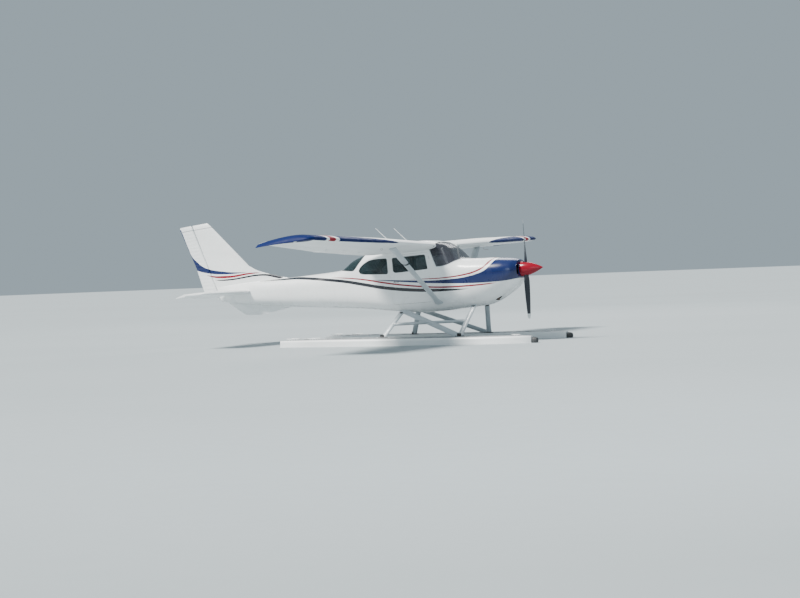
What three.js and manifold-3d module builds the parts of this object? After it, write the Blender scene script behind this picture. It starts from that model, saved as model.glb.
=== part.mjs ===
// Four-seat high-wing floatplane with a strut-braced wing, standing on the keels of its two floats.
// Millimetres, +X forward, +Y to the left wing, +Z up. The origin is under the middle of the outer box.
// Inside the airframe group a place is written (s, y, z): s aft of the spinner's tip, z above the
// propeller shaft's line. The group is then turned nose up by PITCH above the level float decks.
import * as THREE from "three";
import { mergeVertices } from "three/addons/utils/BufferGeometryUtils.js";
import Module from "manifold-3d";

const wasm = await Module();
wasm.setup();

// Driving sizes
const DEG = Math.PI / 180;
const PITCH = 2.7 * DEG;
const SHAFT_HEIGHT = 1887;
const SEAM = 0.5;
const MOVING_GAP = 6;
const WALL = 30;
const OUTSIDE = 900;
const GLASS = 8;

const FIREWALL = 1340;
const CABIN_END = 4400;
const CONE_END = 7440;
const COWL_SPLIT = -20;

const SPINNER_LENGTH = 445;
const SPINNER_RADIUS = 146;
const PROP_PLANE = 360;
const PROP_RADIUS = 980;
const PROP_TURN = 2 * DEG;

const WING_ROOT = 560;
const WING_BREAK = 2640;
const WING_RIB = 5280;
const HALF_SPAN = 5460;
const WING_LEAD = 2016;
const WING_HEIGHT = 586;
const DIHEDRAL = 0.032;
const ROOT_CHORD = 1626;
const TIP_CHORD = 1130;
const FLAP_FRACTION = 0.72;
const AILERON_FRACTION = 0.76;

const TAIL_HEIGHT = 30;
const TAIL_HINGE = 7215;
const TAIL_TIP = 1725;
const ELEVATOR_DROOP = 12 * DEG;
const RUDDER_FOOT = 7405;
const RUDDER_RAKE = 0.361;

const FLOAT_BOW = 92;
const FLOAT_CENTRE = 965;
const DECK = 600;
const STRUT_FOOT_Y = 740;
const STRUT_FOOT_FRONT = -1505;
const STRUT_FOOT_REAR = -3172;

// Finishes
const finish = (color, roughness, metalness = 0) =>
  new THREE.MeshStandardMaterial({ color, roughness, metalness });
const WHITE = finish(0xeef1f2, 0.35, 0.1);
const BLUE = finish(0x1b2f6b, 0.3, 0.1);
const RED = finish(0xb0182b, 0.3, 0.1);
const DECK_GREY = finish(0xd9dcdc, 0.7);
const BLACK = finish(0x17181a, 0.5);
const GLAZING = finish(0x39424a, 0.08);
const RUBBER = finish(0x1b1b1c, 0.8);
const STEEL = finish(0x8b9096, 0.35, 0.9);
const IRON = finish(0x55585c, 0.6, 0.7);
const CLOTH = finish(0x2c2f36, 0.9);
const PANEL = finish(0x24262a, 0.7);

// Solids

function toSolid(geometry) {
  const bare = geometry.clone();
  bare.deleteAttribute("normal");
  bare.deleteAttribute("uv");
  const merged = mergeVertices(bare, 1e-3);
  const positions = new Float32Array(merged.attributes.position.array);
  const triVerts = new Uint32Array(merged.index.array);
  return new wasm.Manifold(
    new wasm.Mesh({ numProp: 3, vertProperties: positions, triVerts }),
  );
}

function toGeometry(solid) {
  const mesh = solid.getMesh();
  const positions = new Float32Array(mesh.numVert * 3);
  for (let i = 0; i < mesh.numVert; i++)
    positions.set(
      mesh.vertProperties.subarray(i * mesh.numProp, i * mesh.numProp + 3),
      i * 3,
    );
  const geometry = new THREE.BufferGeometry();
  geometry.setAttribute("position", new THREE.BufferAttribute(positions, 3));
  geometry.setIndex(new THREE.BufferAttribute(mesh.triVerts, 1));
  return geometry;
}

const join = (...parts) => parts.reduce((a, b) => a.add(b));
const cut = (solid, ...tools) => tools.reduce((a, b) => a.subtract(b), solid);
const common = (...parts) => parts.reduce((a, b) => a.intersect(b));
const largest = (solid) =>
  solid.decompose().reduce((a, b) => (a.volume() > b.volume() ? a : b));

// A solid skinned through rings of equal length, with flat fans on its two ends.
function loft(rings) {
  const count = rings[0].length;
  const points = rings.flat();
  const index = [];
  for (let i = 0; i < rings.length - 1; i++)
    for (let k = 0; k < count; k++) {
      const a = i * count + k;
      const b = i * count + ((k + 1) % count);
      index.push(a, b, a + count, b, b + count, a + count);
    }
  const last = (rings.length - 1) * count;
  for (let k = 1; k < count - 1; k++)
    index.push(0, k + 1, k, last, last + k, last + k + 1);
  const volume = signedVolume(points, index);
  if (volume < 0) index.reverse();
  const geometry = new THREE.BufferGeometry();
  const flat = new Float32Array(points.flat());
  geometry.setAttribute("position", new THREE.BufferAttribute(flat, 3));
  geometry.setIndex(index);
  return toSolid(geometry);
}

function signedVolume(points, index) {
  let volume = 0;
  for (let i = 0; i < index.length; i += 3) {
    const [a, b, c] = [0, 1, 2].map(
      (k) => new THREE.Vector3(...points[index[i + k]]),
    );
    volume += a.dot(b.cross(c));
  }
  return volume;
}

// A block between two opposite corners, each [x, y, z].
function block(low, high) {
  const size = high.map((v, i) => v - low[i]);
  const geometry = new THREE.BoxGeometry(...size);
  geometry.translate(...low.map((v, i) => v + size[i] / 2));
  return toSolid(geometry);
}

// A slab right across the fuselage, between two places along it and two heights.
function slab(from, to, low, high) {
  return block([-to, -OUTSIDE, low], [-from, OUTSIDE, high]);
}

// An outline of (s, z) points, drawn out sideways from y = from to y = to.
function sidePrism(outline, from = -OUTSIDE, to = OUTSIDE) {
  const shape = new THREE.Shape(
    outline.map(([s, z]) => new THREE.Vector2(-s, z)),
  );
  const geometry = new THREE.ExtrudeGeometry(shape, {
    depth: to - from,
    bevelEnabled: false,
  });
  geometry.rotateX(Math.PI / 2);
  geometry.translate(0, to, 0);
  return toSolid(geometry);
}

// The outline moved outward by a distance (inward when it is negative), for a convex outline.
function grown(outline, by) {
  const count = outline.length;
  const area = outline.reduce((sum, [s, z], i) => {
    const [s2, z2] = outline[(i + 1) % count];
    return sum + s * z2 - s2 * z;
  }, 0);
  const turn = area > 0 ? 1 : -1;
  const edges = outline.map(([s, z], i) => {
    const [s2, z2] = outline[(i + 1) % count];
    const length = Math.hypot(s2 - s, z2 - z);
    const normal = [(turn * (z2 - z)) / length, (-turn * (s2 - s)) / length];
    return { normal, reach: normal[0] * s + normal[1] * z + by };
  });
  return edges.map((edge, i) => {
    const before = edges[(i + count - 1) % count];
    const [a, b] = before.normal;
    const [c, d] = edge.normal;
    const det = a * d - b * c;
    return [
      (before.reach * d - b * edge.reach) / det,
      (a * edge.reach - before.reach * c) / det,
    ];
  });
}

// A round bar between two points.
function bar(from, to, radius, sides = 10) {
  const start = new THREE.Vector3(...from);
  const along = new THREE.Vector3(...to).sub(start);
  const geometry = new THREE.CylinderGeometry(
    radius,
    radius,
    along.length(),
    sides,
  );
  geometry.translate(0, along.length() / 2, 0);
  const up = new THREE.Vector3(0, 1, 0);
  const turn = new THREE.Quaternion().setFromUnitVectors(
    up,
    along.clone().normalize(),
  );
  geometry.applyQuaternion(turn);
  geometry.translate(...from);
  return toSolid(geometry);
}

// A streamlined bar: rows are [point, chord, thickness], the chord lying along X.
function faired(rows) {
  const outline = [
    [0.5, 0],
    [0.36, 0.36],
    [0.1, 0.5],
    [-0.2, 0.42],
    [-0.5, 0.04],
    [-0.5, -0.04],
    [-0.2, -0.42],
    [0.1, -0.5],
    [0.36, -0.36],
  ];
  return loft(
    rows.map(([[x, y, z], chord, thickness]) =>
      outline.map(([u, v]) => [x + u * chord, y + v * thickness, z]),
    ),
  );
}

// Scene graph

const airframe = new THREE.Group();
airframe.rotation.y = -PITCH;
airframe.position.z = SHAFT_HEIGHT;
const floatGear = new THREE.Group();

function place(group, name, solid, material) {
  const mesh = new THREE.Mesh(toGeometry(solid), material);
  mesh.name = name;
  group.add(mesh);
}

// A place of the airframe, as a place in the level frame of the floats.
function levelled(s, y, z) {
  const point = new THREE.Vector3(-s, y, z);
  point.applyAxisAngle(new THREE.Vector3(0, 1, 0), -PITCH);
  return [point.x, point.y, point.z + SHAFT_HEIGHT];
}

const SIDES = [
  ["left", 1],
  ["right", -1],
];

// Fuselage: one row for each station, with the superellipse powers of its upper and lower half.
// Columns: s, lowest z, highest z, half width, z of the widest line, upper power, lower power
const BODY = [
  [455, -200, 190, 300, 0, 2.2, 2.2],
  [560, -335, 222, 400, -20, 2.3, 2.3],
  [760, -467, 250, 462, -40, 2.5, 2.4],
  [1030, -600, 274, 505, -60, 2.6, 2.6],
  [1190, -644, 281, 522, -60, 2.7, 2.8],
  [1340, -659, 288, 535, -60, 2.8, 3.0],
  [1580, -668, 309, 545, -40, 3.0, 3.6],
  [1850, -684, 553, 548, -20, 3.4, 4.0],
  [2050, -698, 668, 549, 0, 4.5, 4.2],
  [2450, -700, 735, 550, 0, 6.0, 4.2],
  [3060, -640, 700, 548, 0, 6.0, 4.2],
  [3640, -560, 580, 520, 0, 5.0, 4.0],
  [3975, -520, 487, 480, 0, 3.6, 3.6],
  [4335, -490, 290, 430, -40, 3.0, 3.2],
  [4646, -458, 272, 395, -60, 2.8, 3.0],
  [5490, -375, 245, 300, -50, 2.6, 2.8],
  [6500, -255, 232, 175, 0, 2.4, 2.6],
  [7150, -168, 217, 76, 20, 2.2, 2.2],
  [CONE_END, -110, 208, 34, 30, 2.2, 2.2],
];
const RING_POINTS = 28;

function bodyAt(s) {
  const i = BODY.findIndex((row, k) => k > 0 && s <= row[0]);
  const [a, b] = [BODY[i - 1], BODY[i]];
  const t = (s - a[0]) / (b[0] - a[0]);
  return a.map((v, k) => v + (b[k] - v) * t);
}

function bodyRing(s, inset) {
  const [, low, high, half, middle, upper, lower] = bodyAt(s);
  return Array.from({ length: RING_POINTS }, (_, k) => {
    const angle = (2 * Math.PI * (k + 0.5)) / RING_POINTS;
    const [c, d] = [Math.cos(angle), Math.sin(angle)];
    const power = 2 / (d > 0 ? upper : lower);
    const reach = d > 0 ? high - inset - middle : middle - low - inset;
    const y = (half - inset) * Math.sign(c) * Math.abs(c) ** power;
    const z = middle + reach * Math.sign(d) * Math.abs(d) ** power;
    return [-s, y, z];
  });
}

function body(from, to, inset = 0) {
  const inner = BODY.map((row) => row[0]).filter((s) => s > from && s < to);
  return loft([from, ...inner, to].map((s) => bodyRing(s, inset)));
}

// Engine cowling: two shells, with the two air inlets beside the spinner
const COWL_FRONT = 455;
const COWL_WALL = 14;
const COWL_CUT = { from: 400, to: 620 };
const INLET = { y: 208, low: -38, high: 52, radius: 70 };
const SHAFT_HOLE = 60;
const inlets = SIDES.map(([, side]) => {
  const y = side * INLET.y;
  const hole = (z) => bar([-COWL_CUT.from, y, z], [-COWL_CUT.to, y, z], INLET.radius, 12);
  const between = block(
    [-COWL_CUT.to, y - INLET.radius, INLET.low],
    [-COWL_CUT.from, y + INLET.radius, INLET.high],
  );
  return join(hole(INLET.low), hole(INLET.high), between);
});
const cowl = cut(
  body(COWL_FRONT, FIREWALL - SEAM),
  body(COWL_FRONT + COWL_WALL, FIREWALL - SEAM, COWL_WALL),
  body(FIREWALL - 2 * COWL_WALL, FIREWALL, COWL_WALL),
  bar([-COWL_CUT.from, 0, 0], [-COWL_CUT.to, 0, 0], SHAFT_HOLE, 12),
  ...inlets,
);
const upperHalf = slab(COWL_CUT.from, FIREWALL, COWL_SPLIT + SEAM, OUTSIDE);
const lowerHalf = slab(COWL_CUT.from, FIREWALL, -OUTSIDE, COWL_SPLIT - SEAM);
const OUTLET = { from: 1210, to: 1325, half: 170, top: -600 };
const outlet = block(
  [-OUTLET.to, -OUTLET.half, -OUTSIDE],
  [-OUTLET.from, OUTLET.half, OUTLET.top],
);
const ENGINE = { front: 640, rear: 1250, half: 320, low: -250, high: 125 };
const STACK = { s: 925, y: -150, bottom: -572, radius: 27, clearance: 24 };
const stackHole = bar(
  [-STACK.s, STACK.y, ENGINE.low],
  [-STACK.s, STACK.y, -OUTSIDE],
  STACK.radius + STACK.clearance,
  12,
);
place(airframe, "cowl_upper", common(cowl, upperHalf), BLUE);
place(
  airframe,
  "cowl_lower",
  cut(common(cowl, lowerHalf), outlet, stackHole),
  WHITE,
);
place(
  airframe,
  "exhaust_stack",
  bar(
    [-STACK.s, STACK.y, ENGINE.low - SEAM],
    [-STACK.s, STACK.y, STACK.bottom],
    STACK.radius,
    12,
  ),
  STEEL,
);

// Engine: a flat four as one plain block, with its shaft and the bearer against the firewall
const BEARER = { half: 150, low: -160, high: 60 };
const SHAFT_RADIUS = 40;
place(
  airframe,
  "engine_block",
  join(
    block(
      [-ENGINE.rear, -ENGINE.half, ENGINE.low],
      [-ENGINE.front, ENGINE.half, ENGINE.high],
    ),
    block(
      [-FIREWALL + SEAM, -BEARER.half, BEARER.low],
      [-ENGINE.rear + SEAM, BEARER.half, BEARER.high],
    ),
    bar(
      [-ENGINE.front - SEAM, 0, 0],
      [-SPINNER_LENGTH - MOVING_GAP, 0, 0],
      SHAFT_RADIUS,
      12,
    ),
  ),
  IRON,
);

// Propeller: rows of one blade, [radius, chord, thickness, twist from the disc in degrees]
const BLADE = [
  [30, 86, 46, 64],
  [110, 90, 40, 56],
  [260, 128, 26, 40],
  [520, 134, 18, 27],
  [800, 112, 12, 20],
  [950, 84, 8, 17],
  [PROP_RADIUS, 44, 5, 16],
];
const HUB = { radius: 62, from: 312, to: 408 };
const BLADE_OUTLINE = [
  [0.5, 0],
  [0.3, 0.42],
  [-0.1, 0.5],
  [-0.5, 0.08],
  [-0.5, -0.08],
  [-0.1, -0.18],
  [0.3, -0.18],
];

function blade(direction) {
  return loft(
    BLADE.map(([radius, chord, thickness, twist]) => {
      const [c, d] = [Math.cos(twist * DEG), Math.sin(twist * DEG)];
      return BLADE_OUTLINE.map(([u, v]) => {
        const across = (-u * chord * c + v * thickness * d) * direction;
        const ahead = u * chord * d + v * thickness * c;
        return [-PROP_PLANE + ahead, across, direction * radius];
      });
    }),
  );
}

const turned = (solid) => solid.rotate([-PROP_TURN / DEG, 0, 0]);
const hub = bar([-HUB.from, 0, 0], [-HUB.to, 0, 0], HUB.radius, 16);
place(airframe, "propeller", turned(join(hub, blade(1), blade(-1))), BLACK);

const SPINNER_STEPS = 9;
const spinnerProfile = [new THREE.Vector2(0, 0)];
for (let i = 1; i <= SPINNER_STEPS; i++) {
  const t = i / SPINNER_STEPS;
  const radius = SPINNER_RADIUS * Math.sin((t * Math.PI) / 2) ** 0.92;
  spinnerProfile.push(new THREE.Vector2(radius, -t * SPINNER_LENGTH));
}
spinnerProfile.push(new THREE.Vector2(0, -SPINNER_LENGTH));
const spinnerShape = new THREE.LatheGeometry(spinnerProfile.reverse(), 24);
spinnerShape.rotateZ(-Math.PI / 2);
const SLOT = { from: 300, to: 420, half: 68 };
const bladeSlot = block(
  [-SLOT.to, -SLOT.half, -OUTSIDE],
  [-SLOT.from, SLOT.half, OUTSIDE],
);
place(
  airframe,
  "spinner",
  turned(cut(toSolid(spinnerShape), bladeSlot)),
  RED,
);

// Cabin: outlines in (s, z), cut straight through from side to side
const GLASS_FRONT = [
  [1500, 326],
  [1590, 306],
  [1680, 278],
  [1732, 222],
  [1800, 184],
  [1890, 169],
  [2050, 165],
  [2150, 520],
  [2070, 655],
  [2030, 850],
  [1400, 850],
];
const GLASS_BACK = [
  [3600, 700],
  [3660, 500],
  [3895, 238],
  [4345, 290],
  [4520, 700],
];
const DOOR = [
  [2190, -500],
  [2190, 492],
  [3055, 480],
  [3050, -500],
];
const DOOR_WINDOW = [
  [2258, 152],
  [2306, 446],
  [2915, 438],
  [2992, 408],
  [2982, 165],
  [2930, 131],
];
const SIDE_WINDOW = [
  [3115, 438],
  [3112, 120],
  [3640, 154],
  [3742, 178],
  [3774, 238],
  [3730, 310],
  [3640, 378],
  [3520, 428],
  [3380, 444],
];
const FLOOR_LEVEL = -512;
const ROOF_LINE = 545;
const SCUTTLE = [
  [FIREWALL + WALL, 60],
  [2046, 60],
  [2046, 700],
  [FIREWALL + WALL, 700],
];
const ROOF = [
  [2030, ROOF_LINE],
  [3660, ROOF_LINE],
  [3660, 800],
  [2030, 800],
];
const shell = cut(
  body(FIREWALL + WALL + SEAM, CABIN_END),
  body(FIREWALL + WALL - 5, CABIN_END + 5, WALL),
);
const skin = cut(
  body(FIREWALL + WALL + SEAM, CABIN_END),
  body(FIREWALL + WALL - 5, CABIN_END + 5, GLASS),
);
const frontHole = sidePrism(GLASS_FRONT);
const backHole = sidePrism(GLASS_BACK);
const windowHole = sidePrism(SIDE_WINDOW);
const belly = slab(FIREWALL, CABIN_END + WALL, -OUTSIDE, FLOOR_LEVEL);
const halfBody = (side) => {
  const [low, high] = side > 0 ? [SEAM, OUTSIDE] : [-OUTSIDE, -SEAM];
  return block([-CABIN_END - WALL, low, -OUTSIDE], [-FIREWALL, high, OUTSIDE]);
};

place(
  airframe,
  "firewall",
  body(FIREWALL + SEAM, FIREWALL + WALL - SEAM),
  STEEL,
);
place(
  airframe,
  "cabin_floor",
  common(
    body(FIREWALL + WALL + SEAM, CABIN_END),
    slab(FIREWALL, CABIN_END + WALL, -OUTSIDE, FLOOR_LEVEL - SEAM),
  ),
  WHITE,
);
place(
  airframe,
  "scuttle",
  cut(common(shell, sidePrism(SCUTTLE)), frontHole),
  WHITE,
);
place(
  airframe,
  "cabin_roof",
  cut(common(shell, sidePrism(ROOF)), sidePrism(grown(GLASS_FRONT, SEAM)), backHole),
  WHITE,
);
place(
  airframe,
  "windshield",
  common(skin, sidePrism(grown(GLASS_FRONT, -SEAM))),
  GLAZING,
);
place(
  airframe,
  "rear_window",
  common(skin, sidePrism(grown(GLASS_BACK, -SEAM))),
  GLAZING,
);

for (const [name, side] of SIDES) {
  const wall = common(shell, halfBody(side));
  const panel = cut(
    wall,
    belly,
    frontHole,
    backHole,
    windowHole,
    sidePrism(grown(DOOR, MOVING_GAP)),
    sidePrism(grown(SCUTTLE, SEAM)),
    sidePrism(grown(ROOF, SEAM)),
  );
  place(airframe, "cabin_side_" + name, panel, WHITE);
  const leaf = cut(common(wall, sidePrism(DOOR)), sidePrism(DOOR_WINDOW));
  place(airframe, "door_" + name, leaf, WHITE);
  const pane = (outline) =>
    common(skin, halfBody(side), sidePrism(grown(outline, -SEAM)));
  place(airframe, "door_glass_" + name, pane(DOOR_WINDOW), GLAZING);
  place(airframe, "side_window_" + name, pane(SIDE_WINDOW), GLAZING);
}

// Tail cone: a thin shell behind the baggage bulkhead, slotted for the tailplane
const CONE_WALL = 12;
const HINGE_SETBACK = 48;
const rudderLine = (z) => RUDDER_FOOT + RUDDER_RAKE * z;
const finBack = (z) => rudderLine(z) - HINGE_SETBACK;
place(
  airframe,
  "bulkhead",
  body(CABIN_END + SEAM, CABIN_END + WALL - SEAM),
  WHITE,
);
const coneStart = CABIN_END + WALL;
const behindCone = sidePrism([
  [finBack(-OUTSIDE), -OUTSIDE],
  [finBack(OUTSIDE), OUTSIDE],
  [CONE_END + OUTSIDE, OUTSIDE],
  [CONE_END + OUTSIDE, -OUTSIDE],
]);
const cone = cut(
  body(coneStart, CONE_END),
  body(coneStart - CONE_WALL, CONE_END - 9 * CONE_WALL, CONE_WALL),
  behindCone,
);

// Seats and controls inside the cabin
const SEAT_Y = 235;
const SEAT = {
  front: 2420,
  back: 2920,
  height: -130,
  cushion: 130,
  half: 215,
  top: 330,
  lean: 130,
  rest: 110,
};

function seat(front, back, half, centre) {
  const seatTop = SEAT.height;
  return sidePrism(
    [
      [front, seatTop - SEAT.cushion],
      [front, seatTop],
      [back - SEAT.rest, seatTop - 10],
      [back - SEAT.rest + SEAT.lean, SEAT.top],
      [back + SEAT.lean, SEAT.top],
      [back, seatTop - SEAT.cushion],
    ],
    centre - half,
    centre + half,
  );
}

const FRAME_TOP = SEAT.height - SEAT.cushion - SEAM;
const RAIL = { y: 150, half: 15, inset: 30 };
for (const [name, side] of SIDES) {
  const middle = side * SEAT_Y;
  place(
    airframe,
    "seat_front_" + name,
    seat(SEAT.front, SEAT.back, SEAT.half, middle),
    CLOTH,
  );
  const [rear, front] = [-SEAT.back + RAIL.inset, -SEAT.front - RAIL.inset];
  const rails = [-1, 1].map((edge) => {
    const y = middle + edge * RAIL.y;
    return block([rear, y - RAIL.half, FLOOR_LEVEL + SEAM], [front, y + RAIL.half, FRAME_TOP]);
  });
  const pan = block(
    [rear, middle - RAIL.y - SEAM, FRAME_TOP - RAIL.inset],
    [front, middle + RAIL.y + SEAM, FRAME_TOP],
  );
  place(airframe, "seat_frame_" + name, join(pan, ...rails), STEEL);
}
const REAR_SEAT = { front: 3270, back: 3760, half: 395, frame: 300, frameBack: 3570 };
place(
  airframe,
  "seat_rear",
  seat(REAR_SEAT.front, REAR_SEAT.back, REAR_SEAT.half, 0),
  CLOTH,
);
place(
  airframe,
  "seat_frame_rear",
  block(
    [-REAR_SEAT.frameBack, -REAR_SEAT.frame, FLOOR_LEVEL + SEAM],
    [-REAR_SEAT.front - RAIL.inset, REAR_SEAT.frame, FRAME_TOP],
  ),
  STEEL,
);

const DASH = { front: 1700, rear: 1790, low: -90, high: 225, half: 470 };
place(
  airframe,
  "instrument_panel",
  block(
    [-DASH.rear, -DASH.half, DASH.low],
    [-DASH.front, DASH.half, DASH.high],
  ),
  PANEL,
);
const YOKE = { z: 90, rear: 2060, radius: 11, grip: 14, half: 150, rise: 70, splay: 10 };
for (const [name, side] of SIDES) {
  const y = side * SEAT_Y;
  const end = -YOKE.rear;
  const column = bar([-DASH.rear - SEAM, y, YOKE.z], [end, y, YOKE.z], YOKE.radius);
  const cross = bar([end, y - YOKE.half, YOKE.z], [end, y + YOKE.half, YOKE.z], YOKE.grip);
  const horns = [-1, 1].map((edge) =>
    bar(
      [end, y + edge * (YOKE.half - YOKE.splay), YOKE.z],
      [end, y + edge * (YOKE.half + YOKE.splay), YOKE.z + YOKE.rise],
      YOKE.grip,
    ),
  );
  place(airframe, "yoke_" + name, join(column, cross, ...horns), BLACK);
}

// Wing: NACA 2412 sections, cut off flat ahead of the flap and the aileron
const CHORD_STEPS = [0.0125, 0.05, 0.12, 0.25, 0.4, 0.55];

function wingAt(y) {
  const out = THREE.MathUtils.clamp((y - WING_BREAK) / (WING_RIB - WING_BREAK), 0, 1);
  const along = y / HALF_SPAN;
  return {
    lead: WING_LEAD + 120 * out,
    height: WING_HEIGHT + DIHEDRAL * y,
    chord: ROOT_CHORD + (TIP_CHORD - ROOT_CHORD) * out,
    incidence: (2.6 - 2.4 * along) * DEG,
  };
}

function foil(x) {
  const half =
    0.6 *
    (0.2969 * Math.sqrt(x) - 0.126 * x - 0.3516 * x ** 2 + 0.2843 * x ** 3 - 0.1015 * x ** 4);
  const camber =
    x < 0.4
      ? 0.125 * (0.8 * x - x ** 2)
      : (0.02 / 0.36) * (0.2 + 0.8 * x - x ** 2);
  return [camber + half, camber - half];
}

// The place of a chord fraction and a height in chords on the wing at y.
function onWing(y, x, height, side) {
  const { lead, height: rise, chord, incidence } = wingAt(y);
  const aft = chord * (x * Math.cos(incidence) + height * Math.sin(incidence));
  const up = chord * (height * Math.cos(incidence) - x * Math.sin(incidence));
  return [-(lead + aft), side * y, rise + up];
}

function wingRing(y, side, end) {
  const steps = [...CHORD_STEPS, end];
  const upper = [...steps].reverse().map((x) => onWing(y, x, foil(x)[0], side));
  const lower = steps.map((x) => onWing(y, x, foil(x)[1], side));
  return [...upper, onWing(y, 0, 0, side), ...lower];
}

// A flap or an aileron: round nose at the chord fraction, straight sides and a sharp trailing edge.
// Its sections are alike all along it, so its skins are flat.
const NOSE_STEPS = 6;
const TRAILING = 3;
const TAIL_FRACTION = 0.998;

function noseAt(y, fraction) {
  const [upper, lower] = foil(fraction);
  const { chord } = wingAt(y);
  const radius = ((upper - lower) / 2) * chord * 0.96;
  const x = fraction + radius / chord;
  const [top, under] = foil(x);
  return { x, height: (top + under) / 2, radius };
}

function surfaceLean(y, fraction) {
  const { x, height } = noseAt(y, fraction);
  const centre = onWing(y, x, height, 1);
  const tail = onWing(y, TAIL_FRACTION, foil(TAIL_FRACTION)[1], 1);
  return Math.atan2(tail[2] - centre[2], tail[0] - centre[0]);
}

function surfaceRing(y, fraction, side, lean) {
  const { x, height, radius } = noseAt(y, fraction);
  const centre = onWing(y, x, height, side);
  const { chord } = wingAt(y);
  const reach = (TAIL_FRACTION - x) * chord;
  const tail = [centre[0] + reach * Math.cos(lean), centre[1], centre[2] + reach * Math.sin(lean)];
  const arc = Array.from({ length: NOSE_STEPS + 1 }, (_, k) => {
    const angle = lean - Math.PI / 2 - (Math.PI * k) / NOSE_STEPS;
    return [
      centre[0] + radius * Math.cos(angle),
      centre[1],
      centre[2] + radius * Math.sin(angle),
    ];
  });
  return [...arc, tail];
}

function surface([inner, outer], fraction, side) {
  const lean = surfaceLean((inner + outer) / 2, fraction);
  return loft([inner, outer].map((y) => surfaceRing(y, fraction, side, lean)));
}

const FLAP_SPAN = [WING_ROOT + 20, WING_BREAK - 15];
const AILERON_SPAN = [WING_BREAK + 12, WING_RIB - 70];
const noseGap = (fraction) => fraction - (MOVING_GAP + 2) / ROOT_CHORD;

// Wing tip rows: y, lead, trailing edge, height of the chord, thickness, droop of the trailing edge
const TIP_ROWS = [
  [WING_RIB + SEAM, 2136, 3266, 755, 128, 42],
  [5400, 2190, 3262, 752, 92, 52],
  [HALF_SPAN - 12, 2300, 3250, 738, 44, 56],
  [HALF_SPAN, 2420, 3235, 728, 16, 50],
];

for (const [name, side] of SIDES) {
  const rings = [
    wingRing(WING_ROOT, side, noseGap(FLAP_FRACTION)),
    wingRing(WING_BREAK - 6, side, noseGap(FLAP_FRACTION)),
    wingRing(WING_BREAK + 2, side, noseGap(AILERON_FRACTION)),
    wingRing(WING_RIB - 62, side, noseGap(AILERON_FRACTION)),
    wingRing(WING_RIB - 60, side, 0.99),
    wingRing(WING_RIB, side, 0.99),
  ];
  place(airframe, "wing_" + name, loft(rings), WHITE);
  const tip = TIP_ROWS.map(([y, lead, trail, height, thick, droop]) => {
    const outline = [
      [0, 0],
      [0.08, 0.34],
      [0.3, 0.56],
      [0.65, 0.36],
      [1, 0.03],
      [1, -0.03],
      [0.65, -0.3],
      [0.3, -0.44],
      [0.08, -0.3],
    ];
    return outline.map(([u, v]) => [
      -(lead + u * (trail - lead)),
      side * y,
      height - droop * u ** 1.5 + v * thick,
    ]);
  });
  place(airframe, "wing_tip_" + name, loft(tip), BLUE);
  place(airframe, "flap_" + name, surface(FLAP_SPAN, FLAP_FRACTION, side), WHITE);
  place(airframe, "aileron_" + name, surface(AILERON_SPAN, AILERON_FRACTION, side), WHITE);
}

// Wing struts, with a widened foot and an upper cuff
const WING_STRUT = { foot: [2028, 553, -540], top: [2232, 2050, 566] };

function strutRows(foot, top, rows) {
  return rows.map(([t, chord, thickness]) => [
    foot.map((v, i) => v + (top[i] - v) * t),
    chord,
    thickness,
  ]);
}

for (const [name, side] of SIDES) {
  const [foot, top] = [WING_STRUT.foot, WING_STRUT.top].map(([s, y, z]) => [-s, side * y, z]);
  const rows = strutRows(foot, top, [
    [0, 182, 70],
    [0.07, 126, 56],
    [0.8, 126, 56],
    [0.82, 152, 74],
    [1, 168, 90],
  ]);
  place(airframe, "wing_strut_" + name, faired(rows), WHITE);
}

// Tailplane and elevator
// Columns: y, leading edge, half thickness
const TAILPLANE = [
  [TAIL_TIP, 6740, 16],
  [1640, 6690, 34],
  [90, 6505, 50],
];
const tailplaneNose = TAIL_HINGE - 62;

function tailplaneRing(y, lead, half) {
  const span = tailplaneNose - lead;
  const outline = [
    [0, 0],
    [0.06, 0.6],
    [0.3, 1],
    [1, 0.72],
    [1, -0.72],
    [0.3, -1],
    [0.06, -0.6],
  ];
  return outline.map(([u, v]) => [-(lead + u * span), y, TAIL_HEIGHT + v * half]);
}

const tailplaneRows = [
  ...TAILPLANE.map(([y, lead, half]) => tailplaneRing(-y, lead, half)),
  ...[...TAILPLANE].reverse().map(([y, lead, half]) => tailplaneRing(y, lead, half)),
];
place(airframe, "stabilizer", loft(tailplaneRows), WHITE);

// Columns: y, trailing edge at that y, nose radius
const ELEVATOR = [
  [105, 7600, 34],
  [1640, 7440, 26],
];
const ELEVATOR_TUBE = 18;

function elevatorRing(y, trail, radius, side) {
  const arc = Array.from({ length: NOSE_STEPS + 1 }, (_, k) => {
    const angle = Math.PI / 2 - (Math.PI * k) / NOSE_STEPS;
    return [radius * Math.cos(angle), side * y, radius * Math.sin(angle)];
  });
  const tail = TAIL_HINGE - trail;
  return [...arc, [tail, side * y, -TRAILING / 2], [tail, side * y, TRAILING / 2]];
}

const elevatorHalves = SIDES.map(([, side]) =>
  loft(ELEVATOR.map(([y, trail, radius]) => elevatorRing(y, trail, radius, side))),
);
const rudderSwing = SIDES.map(([, side]) => {
  const corners = [
    [-100, 0],
    [-100, side * 105],
    [-420, side * 205],
    [-420, 0],
  ];
  return loft([-80, 80].map((z) => corners.map(([x, y]) => [x, y, z])));
});
const elevatorSolid = join(
  cut(join(...elevatorHalves), ...rudderSwing),
  bar([0, -120, 0], [0, 120, 0], ELEVATOR_TUBE),
);
const elevator = new THREE.Group();
elevator.position.set(-TAIL_HINGE, 0, TAIL_HEIGHT);
elevator.rotation.y = -ELEVATOR_DROOP;
airframe.add(elevator);
place(elevator, "elevator", elevatorSolid, WHITE);

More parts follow.
